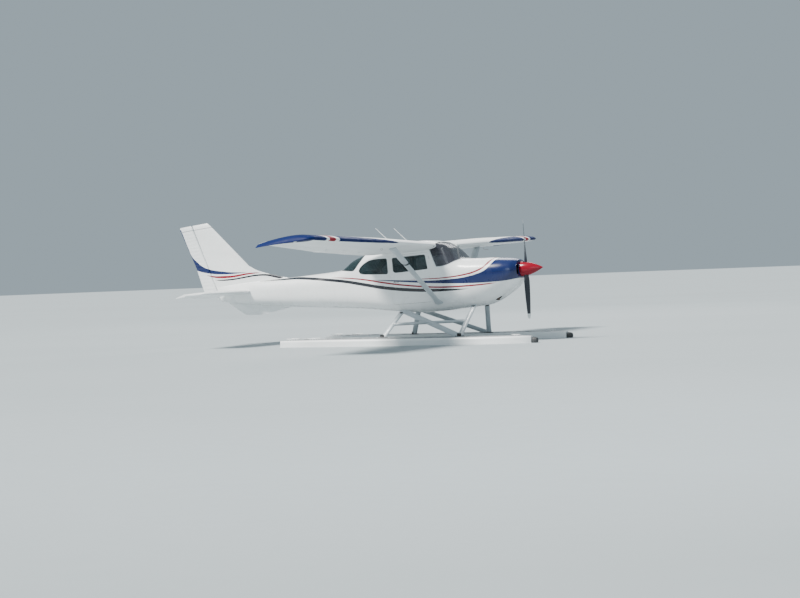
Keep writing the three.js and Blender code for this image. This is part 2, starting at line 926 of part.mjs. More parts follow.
const TAIL_SLOT = { from: 6470, half: 53 };
const slot = slab(
  TAIL_SLOT.from,
  CONE_END + CONE_WALL,
  TAIL_HEIGHT - TAIL_SLOT.half,
  TAIL_HEIGHT + TAIL_SLOT.half,
);
place(airframe, "tail_cone", cut(cone, slot), WHITE);

// Fin and rudder, each row a section between two places (s, z) with its thickness
// Columns: leading edge s and z, z of the rear edge, thickness
const FIN_ROWS = [
  [6205, 150, 150, 88],
  [7492, 1520, 1496, 52],
  [7545, 1560, 1536, 16],
];

function finRing(lead, leadZ, aftZ, thickness) {
  const aft = finBack(aftZ);
  const outline = [
    [0, 0],
    [0.08, 0.34],
    [0.4, 0.5],
    [1, 0.34],
    [1, -0.34],
    [0.4, -0.5],
    [0.08, -0.34],
  ];
  return outline.map(([u, v]) => [
    -(lead + u * (aft - lead)),
    v * thickness,
    leadZ + u * (aftZ - leadZ),
  ]);
}

const DORSAL = [
  [5640, 200],
  [5640, 242],
  [6430, 470],
  [6620, 594],
  [6760, 594],
  [6760, 200],
];
const DORSAL_HALF = 14;
const dorsal = sidePrism(DORSAL, -DORSAL_HALF, DORSAL_HALF);
place(
  airframe,
  "fin",
  cut(
    join(loft(FIN_ROWS.map((row) => finRing(...row))), dorsal),
    body(CABIN_END, CONE_END, -SEAM),
  ),
  WHITE,
);

// Columns: hinge z, nose radius, trailing edge s, trailing edge z
const RUDDER_ROWS = [
  [-20, 24, 7712, -20],
  [277, 30, 7800, 277],
  [600, 32, 7888, 600],
  [1496, 22, 8236, 1477],
  [1536, 8, 8224, 1517],
];

function rudderRing(z, radius, trail, trailZ) {
  const arc = Array.from({ length: NOSE_STEPS + 1 }, (_, k) => {
    const angle = Math.PI / 2 - (Math.PI * k) / NOSE_STEPS;
    return [-rudderLine(z) + radius * Math.cos(angle), radius * Math.sin(angle), z];
  });
  return [...arc, [-trail, -TRAILING / 2, trailZ], [-trail, TRAILING / 2, trailZ]];
}

place(
  airframe,
  "rudder",
  loft(RUDDER_ROWS.map((row) => rudderRing(...row))),
  WHITE,
);

const VENTRAL = [
  [5560, -355],
  [6346, -479],
  [6760, -455],
  [7140, -200],
  [7140, -140],
  [5560, -340],
];
const VENTRAL_HALF = 8;
place(
  airframe,
  "ventral_fin",
  cut(sidePrism(VENTRAL, -VENTRAL_HALF, VENTRAL_HALF), body(CABIN_END, CONE_END, -SEAM)),
  WHITE,
);

// Floats, in the level frame
// Columns: distance aft of the bow, keel z, chine z, deck z, half beam at the chine, at the deck
const STEP_PLACE = 3085;
const FLOAT_LENGTH = 5394;
const HULL = [
  [0, 425, 468, 590, 66, 64],
  [180, 255, 355, 598, 172, 158],
  [560, 100, 238, DECK, 272, 250],
  [1150, 18, 176, DECK, 342, 315],
  [1850, 0, 160, DECK, 360, 332],
  [STEP_PLACE, 0, 160, DECK, 360, 332],
  [STEP_PLACE + 4, 70, 205, DECK, 352, 332],
  [4135, 150, 275, DECK, 300, 286],
  [5000, 240, 340, DECK - 4, 215, 208],
  [FLOAT_LENGTH, 290, 375, DECK - 12, 160, 158],
];
const GUNWALE = { drop: 45, inset: 0.86 };

function hullRing(aft, keel, chine, deck, chineHalf, deckHalf, centre) {
  const x = FLOAT_BOW - aft;
  const half = [
    [0, keel],
    [chineHalf, chine],
    [deckHalf, deck - GUNWALE.drop],
    [deckHalf * GUNWALE.inset, deck],
  ];
  const other = half.slice(1).reverse();
  return [
    ...half.map(([y, z]) => [x, centre + y, z]),
    ...other.map(([y, z]) => [x, centre - y, z]),
  ];
}

const BUMPER = { reach: 118, half: 66, low: 436, high: 574 };
const STERN = FLOAT_BOW - FLOAT_LENGTH;
const WATER_RUDDER = {
  axis: STERN - 50,
  chord: 190,
  nose: 10,
  low: 120,
  high: 480,
  plateTop: 420,
  half: 5,
  stock: 14,
};
const LUG = { half: 26, thick: 12, reach: 78, sink: 3 };

for (const [name, side] of SIDES) {
  const centre = side * FLOAT_CENTRE;
  const hull = loft(HULL.map((row) => hullRing(...row, centre)));
  const lugFoot = WATER_RUDDER.high + MOVING_GAP;
  const lug = block(
    [STERN - LUG.reach, centre - LUG.half, lugFoot],
    [STERN + LUG.sink, centre + LUG.half, lugFoot + LUG.thick],
  );
  place(floatGear, "float_" + name, join(hull, lug), DECK_GREY);
  const bumper = loft(
    [
      [0.5, 0.5],
      [0.42 * BUMPER.reach, 0.96],
      [0.8 * BUMPER.reach, 0.8],
      [BUMPER.reach, 0.45],
    ].map(([ahead, size]) => {
      const middle = (BUMPER.low + BUMPER.high) / 2;
      const tall = ((BUMPER.high - BUMPER.low) / 2) * size;
      const wide = BUMPER.half * size;
      return Array.from({ length: 12 }, (_, k) => {
        const angle = (k / 12) * 2 * Math.PI;
        return [
          FLOAT_BOW + ahead,
          centre + wide * Math.cos(angle),
          middle + tall * Math.sin(angle),
        ];
      });
    }),
  );
  place(floatGear, "bow_bumper_" + name, bumper, RUBBER);
  const { axis, chord, nose, low, high, plateTop, half, stock } = WATER_RUDDER;
  const plate = block(
    [axis - chord, centre - half, low],
    [axis + nose, centre + half, plateTop],
  );
  const post = bar([axis, centre, low + stock], [axis, centre, high], stock);
  place(floatGear, "water_rudder_" + name, join(plate, post), WHITE);
}

// Float struts: feet on the inboard deck edge, heads fitted against the belly. The right brace
// carries the boarding step, a bar from half way up one strut to half way up the other.
const FRONT_HEAD = [1384, 331, -640];
const REAR_HEAD = [2934, 401, -660];
const BRACE_HEAD = [2846, 401, -655];
const FOOT_LIFT = 2;
const HEAD_REACH = 1.1;
const STEP_BAR = { front: 0.507, rear: 0.557, radius: 17 };
const belt = body(COWL_FRONT, CABIN_END, -SEAM)
  .rotate([0, -PITCH / DEG, 0])
  .translate([0, 0, SHAFT_HEIGHT]);

for (const [name, side] of SIDES) {
  const foot = (x) => [x, side * STRUT_FOOT_Y, DECK + FOOT_LIFT];
  const head = ([s, y, z]) => levelled(s, side * y, z);
  const [frontFoot, rearFoot] = [foot(STRUT_FOOT_FRONT), foot(STRUT_FOOT_REAR)];
  const [frontHead, rearHead, braceHead] = [FRONT_HEAD, REAR_HEAD, BRACE_HEAD].map(head);
  const leg = (from, to, chord, thickness, extra = 0) => {
    const rows = [0, HEAD_REACH].map((t) => [t, chord + extra, thickness + extra]);
    return cut(faired(strutRows(from, to, rows)), belt);
  };
  const front = (extra) => leg(frontFoot, frontHead, 106, 46, extra);
  const rear = (extra) => leg(rearFoot, rearHead, 106, 46, extra);
  const between = (from, to, t) => from.map((v, i) => v + (to[i] - v) * t);
  const step = bar(
    between(rearFoot, rearHead, STEP_BAR.rear),
    between(frontFoot, frontHead, STEP_BAR.front),
    STEP_BAR.radius,
    8,
  );
  const slanted = leg(frontFoot, braceHead, 158, 44);
  const stepped = side < 0 ? join(slanted, step) : slanted;
  const brace = largest(cut(stepped, front(2 * SEAM), rear(2 * SEAM)));
  place(floatGear, "float_strut_front_" + name, front(0), WHITE);
  place(floatGear, "float_strut_rear_" + name, rear(0), WHITE);
  place(floatGear, "float_brace_" + name, brace, WHITE);
}

const SPREADER = { z: DECK - 110, end: 352, radius: 32 };
for (const [name, x] of [
  ["front", STRUT_FOOT_FRONT],
  ["rear", STRUT_FOOT_REAR],
]) {
  const reach = FLOAT_CENTRE - SPREADER.end;
  const { z, radius } = SPREADER;
  place(floatGear, "spreader_" + name, bar([x, -reach, z], [x, reach, z], radius), WHITE);
}

// The whole aircraft, centred on its outer box
const aircraft = new THREE.Group();
aircraft.add(airframe, floatGear);
aircraft.updateMatrixWorld(true);
const box = new THREE.Box3().setFromObject(aircraft, true);
aircraft.position.x = -(box.min.x + box.max.x) / 2;

const root = new THREE.Group();
root.add(aircraft);

export default root;
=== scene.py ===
"""Finished pieces of a four-seat high-wing floatplane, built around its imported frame."""

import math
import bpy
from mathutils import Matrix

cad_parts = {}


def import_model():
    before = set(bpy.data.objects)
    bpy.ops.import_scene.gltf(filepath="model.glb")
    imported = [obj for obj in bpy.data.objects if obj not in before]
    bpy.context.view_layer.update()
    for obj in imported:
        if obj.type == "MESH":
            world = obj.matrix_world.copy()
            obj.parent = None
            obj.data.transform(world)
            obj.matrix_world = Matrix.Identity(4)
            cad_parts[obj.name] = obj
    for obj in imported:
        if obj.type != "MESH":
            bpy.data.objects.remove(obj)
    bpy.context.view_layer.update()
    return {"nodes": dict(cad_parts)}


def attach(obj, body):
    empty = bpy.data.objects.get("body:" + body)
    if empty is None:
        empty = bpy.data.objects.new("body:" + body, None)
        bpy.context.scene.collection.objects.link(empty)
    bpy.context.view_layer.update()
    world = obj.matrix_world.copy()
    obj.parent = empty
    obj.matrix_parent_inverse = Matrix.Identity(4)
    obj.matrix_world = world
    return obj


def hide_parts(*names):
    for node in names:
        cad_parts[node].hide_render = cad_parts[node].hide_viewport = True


bl_info = {
    "name": "High-wing floatplane", "version": (1, 0, 0), "blender": (4, 5, 0),
    "location": "3D View > Sidebar > Floatplane",
    "description": "Builds the finished skins, fittings and cabin of a high-wing floatplane",
    "category": "Object"
}

import bmesh
import bpy
import numpy as np
from bpy.props import FloatProperty, FloatVectorProperty, IntProperty, PointerProperty
from mathutils import Matrix, Vector

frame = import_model()

# The aircraft's own axes, in millimetres: s aft from the spinner's tip, y to the left, z up from
# the propeller shaft. The airframe sits nose up by PITCH on its level floats.
PITCH = math.radians(2.7)
SHAFT_HEIGHT = 1887.0
MIDDLE = 4043.2166
SIDES = (("left", 1), ("right", -1))
UP, AFT = (0, 0, 1), (1, 0, 0)
# Limits of a cutter that goes past the fuselage on both sides
BEYOND = 900
ALL = (-BEYOND, BEYOND)


def world(points, level=False):
    """Points (s, y, z) in millimetres as metres in the frame; level ones belong to the floats."""
    p = np.asarray(points, float).reshape(-1, 3)
    if level:
        placed = np.column_stack([MIDDLE - p[:, 0], p[:, 1], p[:, 2]])
    else:
        c, d = math.cos(PITCH), math.sin(PITCH)
        placed = np.column_stack(
            [MIDDLE - p[:, 0] * c - p[:, 2] * d, p[:, 1], SHAFT_HEIGHT - p[:, 0] * d + p[:, 2] * c]
        )
    return placed / 1000


def aircraft(points):
    """Metres in the frame as (s, y, z) in millimetres on the aircraft's own axes."""
    p = np.asarray(points, float).reshape(-1, 3) * 1000
    x, z = p[:, 0] - MIDDLE, p[:, 2] - SHAFT_HEIGHT
    c, d = math.cos(PITCH), math.sin(PITCH)
    return np.column_stack([-(x * c + z * d), p[:, 1], z * c - x * d])


def eased(xs, ys, at):
    """Smooth, never overshooting values between table rows."""
    xs, ys, at = (np.asarray(v, float) for v in (xs, ys, at))
    step, rise = np.diff(xs), np.diff(ys)
    slope = rise / step
    tangent = np.zeros(len(xs))
    tangent[0], tangent[-1] = slope[0], slope[-1]
    for i in range(1, len(xs) - 1):
        if slope[i - 1] * slope[i] > 0:
            a, b = 2 * step[i] + step[i - 1], step[i] + 2 * step[i - 1]
            tangent[i] = (a + b) / (a / slope[i - 1] + b / slope[i])
    at = np.clip(at, xs[0], xs[-1])
    i = np.clip(np.searchsorted(xs, at) - 1, 0, len(xs) - 2)
    t = (at - xs[i]) / step[i]
    value = (2 * t**3 - 3 * t**2 + 1) * ys[i] + (t**3 - 2 * t**2 + t) * step[i] * tangent[i]
    value = value + (3 * t**2 - 2 * t**3) * ys[i + 1]
    return value + (t**3 - t**2) * step[i] * tangent[i + 1]


# Meshes


def turns(count):
    """Evenly spaced angles of one whole turn."""
    return np.linspace(0, 2 * math.pi, count, endpoint=False)


def shape(name, points, faces, level=False):
    """A piece from points of the aircraft, in millimetres, and faces."""
    mesh = bpy.data.meshes.new(name)
    mesh.from_pydata(world(points, level).tolist(), [], [list(f) for f in faces])
    piece = bpy.data.objects.new(name, mesh)
    bpy.context.scene.collection.objects.link(piece)
    b = bmesh.new()
    b.from_mesh(mesh)
    bmesh.ops.remove_doubles(b, verts=b.verts, dist=2e-5)
    bmesh.ops.dissolve_degenerate(b, edges=b.edges, dist=1e-6)
    bmesh.ops.recalc_face_normals(b, faces=b.faces)
    b.to_mesh(mesh)
    b.free()
    return piece


def ring_faces(rings, count, loop=False):
    """Faces between neighbouring rings, with the two ends closed unless the rings loop."""
    faces = []
    for i in range(rings if loop else rings - 1):
        a, b = i * count, ((i + 1) % rings) * count
        for k in range(count):
            n = (k + 1) % count
            faces.append((a + k, a + n, b + n, b + k))
    if not loop:
        faces.append(tuple(range(count)))
        faces.append(tuple(range((rings - 1) * count, rings * count)))
    return faces


def loft(name, rings, level=False, loop=False):
    """A skin through rings of equal length."""
    rings = [np.asarray(r, float) for r in rings]
    return shape(name, np.vstack(rings), ring_faces(len(rings), len(rings[0]), loop), level)


def joined(name, pieces):
    """Several meshes as one object, with their materials."""
    kept = []
    b = bmesh.new()
    for piece in pieces:
        start = len(b.faces)
        b.from_mesh(piece.data)
        b.faces.ensure_lookup_table()
        slots = list(piece.data.materials)
        for face in b.faces[start:]:
            own = slots[face.material_index] if slots else None
            if own not in kept:
                kept.append(own)
            face.material_index = kept.index(own)
    mesh = bpy.data.meshes.new(name)
    b.to_mesh(mesh)
    b.free()
    for own in kept:
        mesh.materials.append(own)
    for piece in pieces:
        bpy.data.objects.remove(piece)
    whole = bpy.data.objects.new(name, mesh)
    bpy.context.scene.collection.objects.link(whole)
    return whole


def shade(piece, degrees=32):
    """Smooth faces with sharp edges where the surface turns by more than degrees."""
    b = bmesh.new()
    b.from_mesh(piece.data)
    for face in b.faces:
        face.smooth = True
    for edge in b.edges:
        faces = edge.link_faces
        edge.smooth = len(faces) == 2 and edge.calc_face_angle(0) < math.radians(degrees)
    b.to_mesh(piece.data)
    b.free()
    return piece


def settled(piece):
    """The piece's mesh with its modifiers worked in."""
    evaluated = piece.evaluated_get(bpy.context.evaluated_depsgraph_get())
    mesh = bpy.data.meshes.new_from_object(evaluated)
    piece.modifiers.clear()
    piece.data = mesh
    return piece


def carved(piece, cutter, operation="DIFFERENCE"):
    """Cuts the piece exactly with a cutter, which is used up."""
    cut = piece.modifiers.new("cut", "BOOLEAN")
    cut.operation = operation
    cut.solver = "EXACT"
    cut.object = cutter
    settled(piece)
    bpy.data.objects.remove(cutter)
    return piece


def bevelled(piece, width, segments=2, angle=40):
    """Rounds the piece's edges that are sharper than angle."""
    edge = piece.modifiers.new("edge", "BEVEL")
    edge.width = width / 1000
    edge.segments = segments
    edge.limit_method = "ANGLE"
    edge.angle_limit = math.radians(angle)
    return settled(piece)


def rounded(outline, radius, steps=5):
    """A closed outline with its corners rounded."""
    points = [Vector(p) for p in outline]
    result = []
    for i, corner in enumerate(points):
        back, ahead = points[i - 1] - corner, points[(i + 1) % len(points)] - corner
        reach = min(radius, 0.45 * back.length, 0.45 * ahead.length)
        start, end = corner + back.normalized() * reach, corner + ahead.normalized() * reach
        for k in range(steps + 1):
            t = k / steps
            result.append(start * (1 - t) ** 2 + corner * 2 * t * (1 - t) + end * t * t)
    return [tuple(p) for p in result]


def grown(outline, amount):
    """A closed outline moved outwards."""
    points = [Vector(p) for p in outline]
    area = sum(a.x * b.y - b.x * a.y for a, b in zip(points, points[1:] + points[:1], strict=True))
    turn = 1 if area > 0 else -1
    result = []
    for i, corner in enumerate(points):
        into = (corner - points[i - 1]).normalized()
        out = (points[(i + 1) % len(points)] - corner).normalized()
        first, second = Vector((into.y, -into.x)), Vector((out.y, -out.x))
        mitre = (first + second) / max(1 + first.dot(second), 0.4)
        result.append(tuple(corner + mitre * turn * amount))
    return result


def prism(outline, low=-BEYOND, high=BEYOND, axis="y", name="cutter", level=False):
    """A block with the outline as its section: (s, z) along y, (s, y) along z, (y, z) along s."""
    order = {"y": (0, 2, 1), "z": (0, 1, 2), "s": (1, 2, 0)}[axis]
    points = []
    for depth in (low, high):
        for u, v in outline:
            p = [0, 0, 0]
            p[order[0]], p[order[1]], p[order[2]] = u, v, depth
            points.append(p)
    return shape(name, points, ring_faces(2, len(outline)), level)


def rectangle(u, v):
    """Outline from the limits of u and v."""
    return [(u[0], v[0]), (u[1], v[0]), (u[1], v[1]), (u[0], v[1])]


def box(name, s, y, z, level=False):
    """A box from its limits along s, y and z."""
    return prism(rectangle(s, z), y[0], y[1], "y", name, level)


def tube(name, path, radius, sides=12, level=False):
    """A round bar along a path; radius is one number or one for each point."""
    path = np.asarray(path, float)
    radii = np.broadcast_to(np.asarray(radius, float), (len(path),))
    along = np.gradient(path, axis=0)
    along /= np.linalg.norm(along, axis=1)[:, None]
    up = np.array([0.0, 0, 1]) if abs(along[0][2]) < 0.9 else np.array([0.0, 1, 0])
    rings = []
    for point, direction, r in zip(path, along, radii, strict=True):
        across = np.cross(direction, up)
        across /= np.linalg.norm(across)
        up = np.cross(across, direction)
        angle = turns(sides)[:, None]
        rings.append(point + r * (np.cos(angle) * across + np.sin(angle) * up))
    return loft(name, rings, level)


def turned(name, profile, place, axis, sides=32, level=False):
    """A lathe shape: profile (distance along the axis, radius) from place."""
    axis = np.asarray(axis, float) / np.linalg.norm(axis)
    side = np.cross(axis, [0, 0, 1.0] if abs(axis[2]) < 0.9 else [0, 1.0, 0])
    side /= np.linalg.norm(side)
    other = np.cross(axis, side)
    angle = turns(sides)[:, None]
    rings = [
        np.asarray(place, float) + axis * t + r * (np.cos(angle) * side + np.sin(angle) * other)
        for t, r in profile
    ]
    return loft(name, rings, level)


def hoop(name, centres, outs, across, radius, sides=8):
    """A round bar through centres that close up; outs point away from the middle of the loop."""
    across = np.array(across, float)
    rings = [
        [p + radius * (math.cos(a) * out + math.sin(a) * across) for a in turns(sides)]
        for p, out in zip(centres, outs, strict=True)
    ]
    return loft(name, rings, loop=True)


def upright(name, profile, place, sides):
    """A lathe shape that stands on a float."""
    return turned(name, profile, place, UP, sides, True)


def coated(piece, *looks):
    """Adds finishes to the piece's own list."""
    for look in looks:
        piece.data.materials.append(MATERIALS[look])
    return piece


def fitted(piece, looks, *nodes, slot="white_paint", body="airframe"):
    """Gives a finished piece its finishes and body, and hides the frame's nodes that it stands
    for; slot is not used.
    """
    index = [p.material_index for p in piece.data.polygons]
    piece.data.materials.clear()
    coated(piece, *([looks] if isinstance(looks, str) else looks))
    piece.data.polygons.foreach_set("material_index", index)
    if nodes:
        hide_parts(*nodes)
    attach(piece, body)
    return piece


# Fuselage sections: s, low, high, half width, height of the widest line, powers above and below
BODY = np.array(
    [
        [455, -200, 190, 300, 0, 2.2, 2.2], [560, -335, 222, 400, -20, 2.3, 2.3],
        [760, -467, 250, 462, -40, 2.5, 2.4], [1030, -600, 274, 505, -60, 2.6, 2.6],
        [1190, -644, 281, 522, -60, 2.7, 2.8], [1340, -659, 288, 535, -60, 2.8, 3.0],
        [1580, -668, 309, 545, -40, 3.0, 3.6], [1850, -684, 553, 548, -20, 3.4, 4.0],
        [2050, -698, 668, 549, 0, 4.5, 4.2], [2450, -700, 735, 550, 0, 6.0, 4.2],
        [3060, -640, 700, 548, 0, 6.0, 4.2], [3640, -560, 580, 520, 0, 5.0, 4.0],
        [3975, -520, 487, 480, 0, 3.6, 3.6], [4335, -490, 290, 430, -40, 3.0, 3.2],
        [4646, -458, 272, 395, -60, 2.8, 3.0], [5490, -375, 245, 300, -50, 2.6, 2.8],
        [6500, -255, 232, 175, 0, 2.4, 2.6], [7150, -168, 217, 76, 20, 2.2, 2.2],
        [7440, -110, 208, 34, 30, 2.2, 2.2]
    ],
    float
)
# Least half size of an inset section, and points round a section, as built and as measured
LEAST_SECTION = 2.0
RING = 132
FINE_RING = 1440
# How far the rear edges of the fin and the tail cone stay ahead of the rudder's hinge line
HINGE_GAP = 48


def hinge_s(z):
    """Station of the rudder's slanted hinge line."""
    return 7405 + 0.361 * z


def body_rows(s, inset=0.0):
    """Section at each s: reach up and down, half width, middle height, exponents."""
    rows = [eased(BODY[:, 0], BODY[:, k], s) for k in range(1, 7)]
    low, high, half, middle, upper, lower = rows
    up = np.maximum(high - inset - middle, LEAST_SECTION)
    down = np.maximum(middle - low - inset, LEAST_SECTION)
    return up, down, np.maximum(half - inset, LEAST_SECTION), middle, upper, lower


def body_rings(s, inset=0.0, count=RING):
    """Sections with evenly spaced points, one for each station."""
    s = np.asarray(s, float)
    inset = np.broadcast_to(np.asarray(inset, float), s.shape)
    up, down, half, middle, upper, lower = (v[:, None] for v in body_rows(s, inset))
    angle = np.linspace(-np.pi / 2, 1.5 * np.pi, FINE_RING + 1)[None, :]
    c, d = np.cos(angle), np.sin(angle)
    power = 2 / np.where(d > 0, upper, lower)
    y = half * np.sign(c) * np.abs(c) ** power
    z = middle + np.where(d > 0, up, down) * np.sign(d) * np.abs(d) ** power
    rings = []
    for i, station in enumerate(s):
        length = np.r_[0, np.cumsum(np.hypot(np.diff(y[i]), np.diff(z[i])))]
        at = np.linspace(0, length[-1], count, endpoint=False)
        ring = np.column_stack(
            [np.full(count, station), np.interp(at, length, y[i]), np.interp(at, length, z[i])]
        )
        rings.append(ring)
    return rings


def frame_directions(outs, level=False):
    """Directions (s, y, z) as directions in the frame."""
    outs = np.asarray(outs, float)
    if level:
        return outs * (-1, 1, 1)
    c, d = math.cos(PITCH), math.sin(PITCH)
    x, z = -outs[:, 0], outs[:, 2]
    return np.column_stack([x * c - z * d, outs[:, 1], x * d + z * c])


def body_out(points):
    """Outward directions of the fuselage's skin near points on the aircraft's axes."""

    def level_of(p):
        up, down, half, middle, upper, lower = body_rows(p[:, 0])
        reach = np.where(p[:, 2] > middle, up, down)
        power = np.where(p[:, 2] > middle, upper, lower)
        return (np.abs(p[:, 1]) / half) ** power + (np.abs(p[:, 2] - middle) / reach) ** power

    reach = 0.5
    moves = reach * np.eye(3)
    slopes = [(level_of(points + move) - level_of(points - move)) / (2 * reach) for move in moves]
    out = np.column_stack(slopes)
    return out / np.maximum(np.linalg.norm(out, axis=1), 1e-12)[:, None]


def body_side(s, z, inset=0.0):
    """Half width of the fuselage at a station and a height."""
    s, z = np.asarray(s, float), np.asarray(z, float)
    up, down, half, middle, upper, lower = body_rows(s, inset)
    above = z > middle
    share = np.clip(np.abs(z - middle) / np.where(above, up, down), 0, 1)
    power = np.where(above, upper, lower)
    return half * np.maximum(1 - share**power, 0) ** (1 / power)


def body_edge(s, y, upward):
    """Height of the skin above or below the widest line, at a station and a distance y."""
    up, down, half, middle, upper, lower = body_rows(np.asarray(s, float))
    reach, power = (up, upper) if upward else (-down, lower)
    return middle + reach * np.maximum(1 - (np.abs(y) / half) ** power, 0) ** (1 / power)


def body_top(s, y=0.0):
    """Height of the fuselage's upper skin."""
    return body_edge(s, y, True)


def body_low(s, y=0.0):
    """Height of the fuselage's belly."""
    return body_edge(s, y, False)


def body_shaded(piece, lining=None, skin_angle=0.9):
    """Gives the skin the fuselage's own smooth normals; inner faces can take a second slot."""
    mesh = shade(piece, 25).data
    normals = []
    corners = np.zeros(len(mesh.vertices) * 3)
    mesh.vertices.foreach_get("co", corners)
    out = frame_directions(body_out(aircraft(corners)))
    for face in mesh.polygons:
        flat = np.array(face.normal)
        own = out[list(face.vertices)] @ flat
        if lining is not None:
            face.material_index = lining if own.mean() < -0.4 else 0
        for vertex, match in zip(face.vertices, own, strict=True):
            if match > skin_angle:
                normals.append(out[vertex])
            elif match < -skin_angle:
                normals.append(-out[vertex])
            else:
                normals.append(flat)
    mesh.normals_split_custom_set([tuple(n) for n in normals])
    return piece


def stations(start, end, pitch):
    """Places from start to end, at most about a pitch apart."""
    return np.linspace(start, end, max(3, int(abs(end - start) / pitch) + 1))


def body_block(name, start, end, inset=0.0, pitch=42):
    """The fuselage between two stations, as a solid."""
    return loft(name, body_rings(stations(start, end, pitch), inset))


def body_shell(name, start, end, outer=0.0, inner=18.0, pitch=42):
    """The fuselage's wall between two stations, open at both ends."""
    s = stations(start, end, pitch)
    return loft(name, body_rings(s, outer) + body_rings(s, inner)[::-1], loop=True)


# Windows and doors, as outlines (s, z)
GLASS_FRONT = [
    (1500, 322), (1600, 290), (1680, 246), (1740, 216), (1800, 194), (1890, 178), (2044, 172),
    (2172, 523), (2076, 655), (2030, 850), (1400, 850)
]
GLASS_BACK = [(3600, 700), (3660, 500), (3895, 238), (4345, 290), (4520, 700)]
DOOR = [(2190, -500), (2190, 492), (3055, 480), (3050, -500)]
DOOR_WINDOW = [(2219, 152), (2261, 446), (2990, 436), (2982, 160), (2935, 131)]
SIDE_WINDOW = [
    (3099, 440), (3096, 120), (3640, 154), (3742, 178), (3774, 238), (3730, 310), (3640, 378),
    (3520, 428), (3380, 444)
]
DOOR_SHAPE = rounded(DOOR, 60)
DOOR_WINDOW_SHAPE = rounded(DOOR_WINDOW, 32)
SIDE_WINDOW_SHAPE = rounded(SIDE_WINDOW, 46)
GLASS_FRONT_SHAPE = rounded(GLASS_FRONT, 26)
GLASS_BACK_SHAPE = rounded(GLASS_BACK, 60)
CABIN_START, CABIN_END, CONE_END = 1342, 4398, 7440
WALL = 26


# Materials


def placed(tree, kind, inputs=None, **settings):
    """Adds a node, with its settings and with values or links at its inputs."""
    made = tree.nodes.new(kind)
    for key, value in settings.items():
        setattr(made, key, value)
    for key, value in (inputs or {}).items():
        if isinstance(value, bpy.types.NodeSocket):
            tree.links.new(value, made.inputs[key])
        else:
            made.inputs[key].default_value = value
    return made


def node(tree, kind, inputs=None, **settings):
    """Adds a shader node."""
    return placed(tree, "ShaderNode" + kind, inputs, **settings)


def calc(tree, operation, a, b=0.0, c=0.0):
    """Adds a Math node."""
    return node(tree, "Math", {0: a, 1: b, 2: c}, operation=operation).outputs[0]


def mixed(tree, factor, a, b):
    """Colour a where factor is 0, and b where it is 1."""
    return node(tree, "Mix", {0: factor, 6: a, 7: b}, data_type="RGBA").outputs[2]


def blended(tree, factor, a, b):
    """Number a where factor is 0, and b where it is 1."""
    return node(tree, "Mix", {0: factor, 2: a, 3: b}, data_type="FLOAT").outputs[0]


def noise(tree, scale, detail=3.0, stretch=None):
    """Noise in the piece's own axes."""
    place = node(tree, "TexCoord").outputs["Object"]
    if stretch:
        place = node(tree, "Mapping", {"Vector": place, "Scale": stretch}).outputs[0]
    inputs = {"Vector": place, "Scale": scale, "Detail": detail}
    return node(tree, "TexNoise", inputs).outputs["Fac"]


def spread(tree, value, low, high, start=0.35, end=0.65):
    """Maps start to end onto low to high."""
    inputs = {"Value": value, "From Min": start, "From Max": end, "To Min": low, "To Max": high}
    return node(tree, "MapRange", inputs).outputs[0]


def colour(rgb, shade_by=1.0):
    """Full colour from three shares, made darker or lighter."""
    return tuple(c * shade_by for c in rgb) + (1.0,)


def recipe(name):
    """A new material with its node tree and shader."""
    material = bpy.data.materials.new(name)
    material.use_nodes = True
    tree = material.node_tree
    return material, tree, tree.nodes["Principled BSDF"]


def bumped(tree, shader, height, strength, depth):
    """Adds relief from a height in the node tree."""
    raised = node(tree, "Bump", {"Height": height, "Strength": strength, "Distance": depth})
    tree.links.new(raised.outputs[0], shader.inputs["Normal"])


def surface(
    tree, shader, base, roughness, rough_change=0.08, bump=None, metallic=0.0, coat=0.0, shine=0.5
):
    """Joins a colour to the shader, with uneven gloss and an optional bump (scale, depth)."""
    tree.links.new(base, shader.inputs["Base Color"])
    patches = noise(tree, 5.0, 4.0)
    rough = spread(tree, patches, roughness - rough_change, roughness + rough_change)
    tree.links.new(rough, shader.inputs["Roughness"])
    fixed = {
        "Metallic": metallic, "Coat Weight": coat, "Coat Roughness": 0.12,
        "Specular IOR Level": shine
    }
    for key, value in fixed.items():
        shader.inputs[key].default_value = value
    if bump:
        scale, depth = bump
        bumped(tree, shader, noise(tree, scale, 2.0), 0.5, depth)


def toned(tree, base, factor):
    """A colour multiplied by a factor."""
    if isinstance(base, tuple):
        base = base[:3]
    return node(tree, "VectorMath", {0: base, "Scale": factor}, operation="SCALE").outputs[0]


def worn(tree, base, dark=0.86, scale=2.2, stretch=(0.5, 1, 2)):
    """Slow changes of tone and faint streaks over a colour."""
    return toned(tree, base, spread(tree, noise(tree, scale, 5.0, stretch), dark, 1.0, 0.3, 0.6))


def plain(
    name, rgb, roughness, bump=None, metallic=0.0, coat=0.0, dark=0.86, scale=2.2, shine=0.5
):
    """Paint, metal, rubber or plastic with wear, uneven gloss and an optional bump."""
    material, tree, shader = recipe(name)
    tint = worn(tree, colour(rgb), dark, scale)
    surface(tree, shader, tint, roughness, 0.06, bump, metallic, coat, shine)
    return material


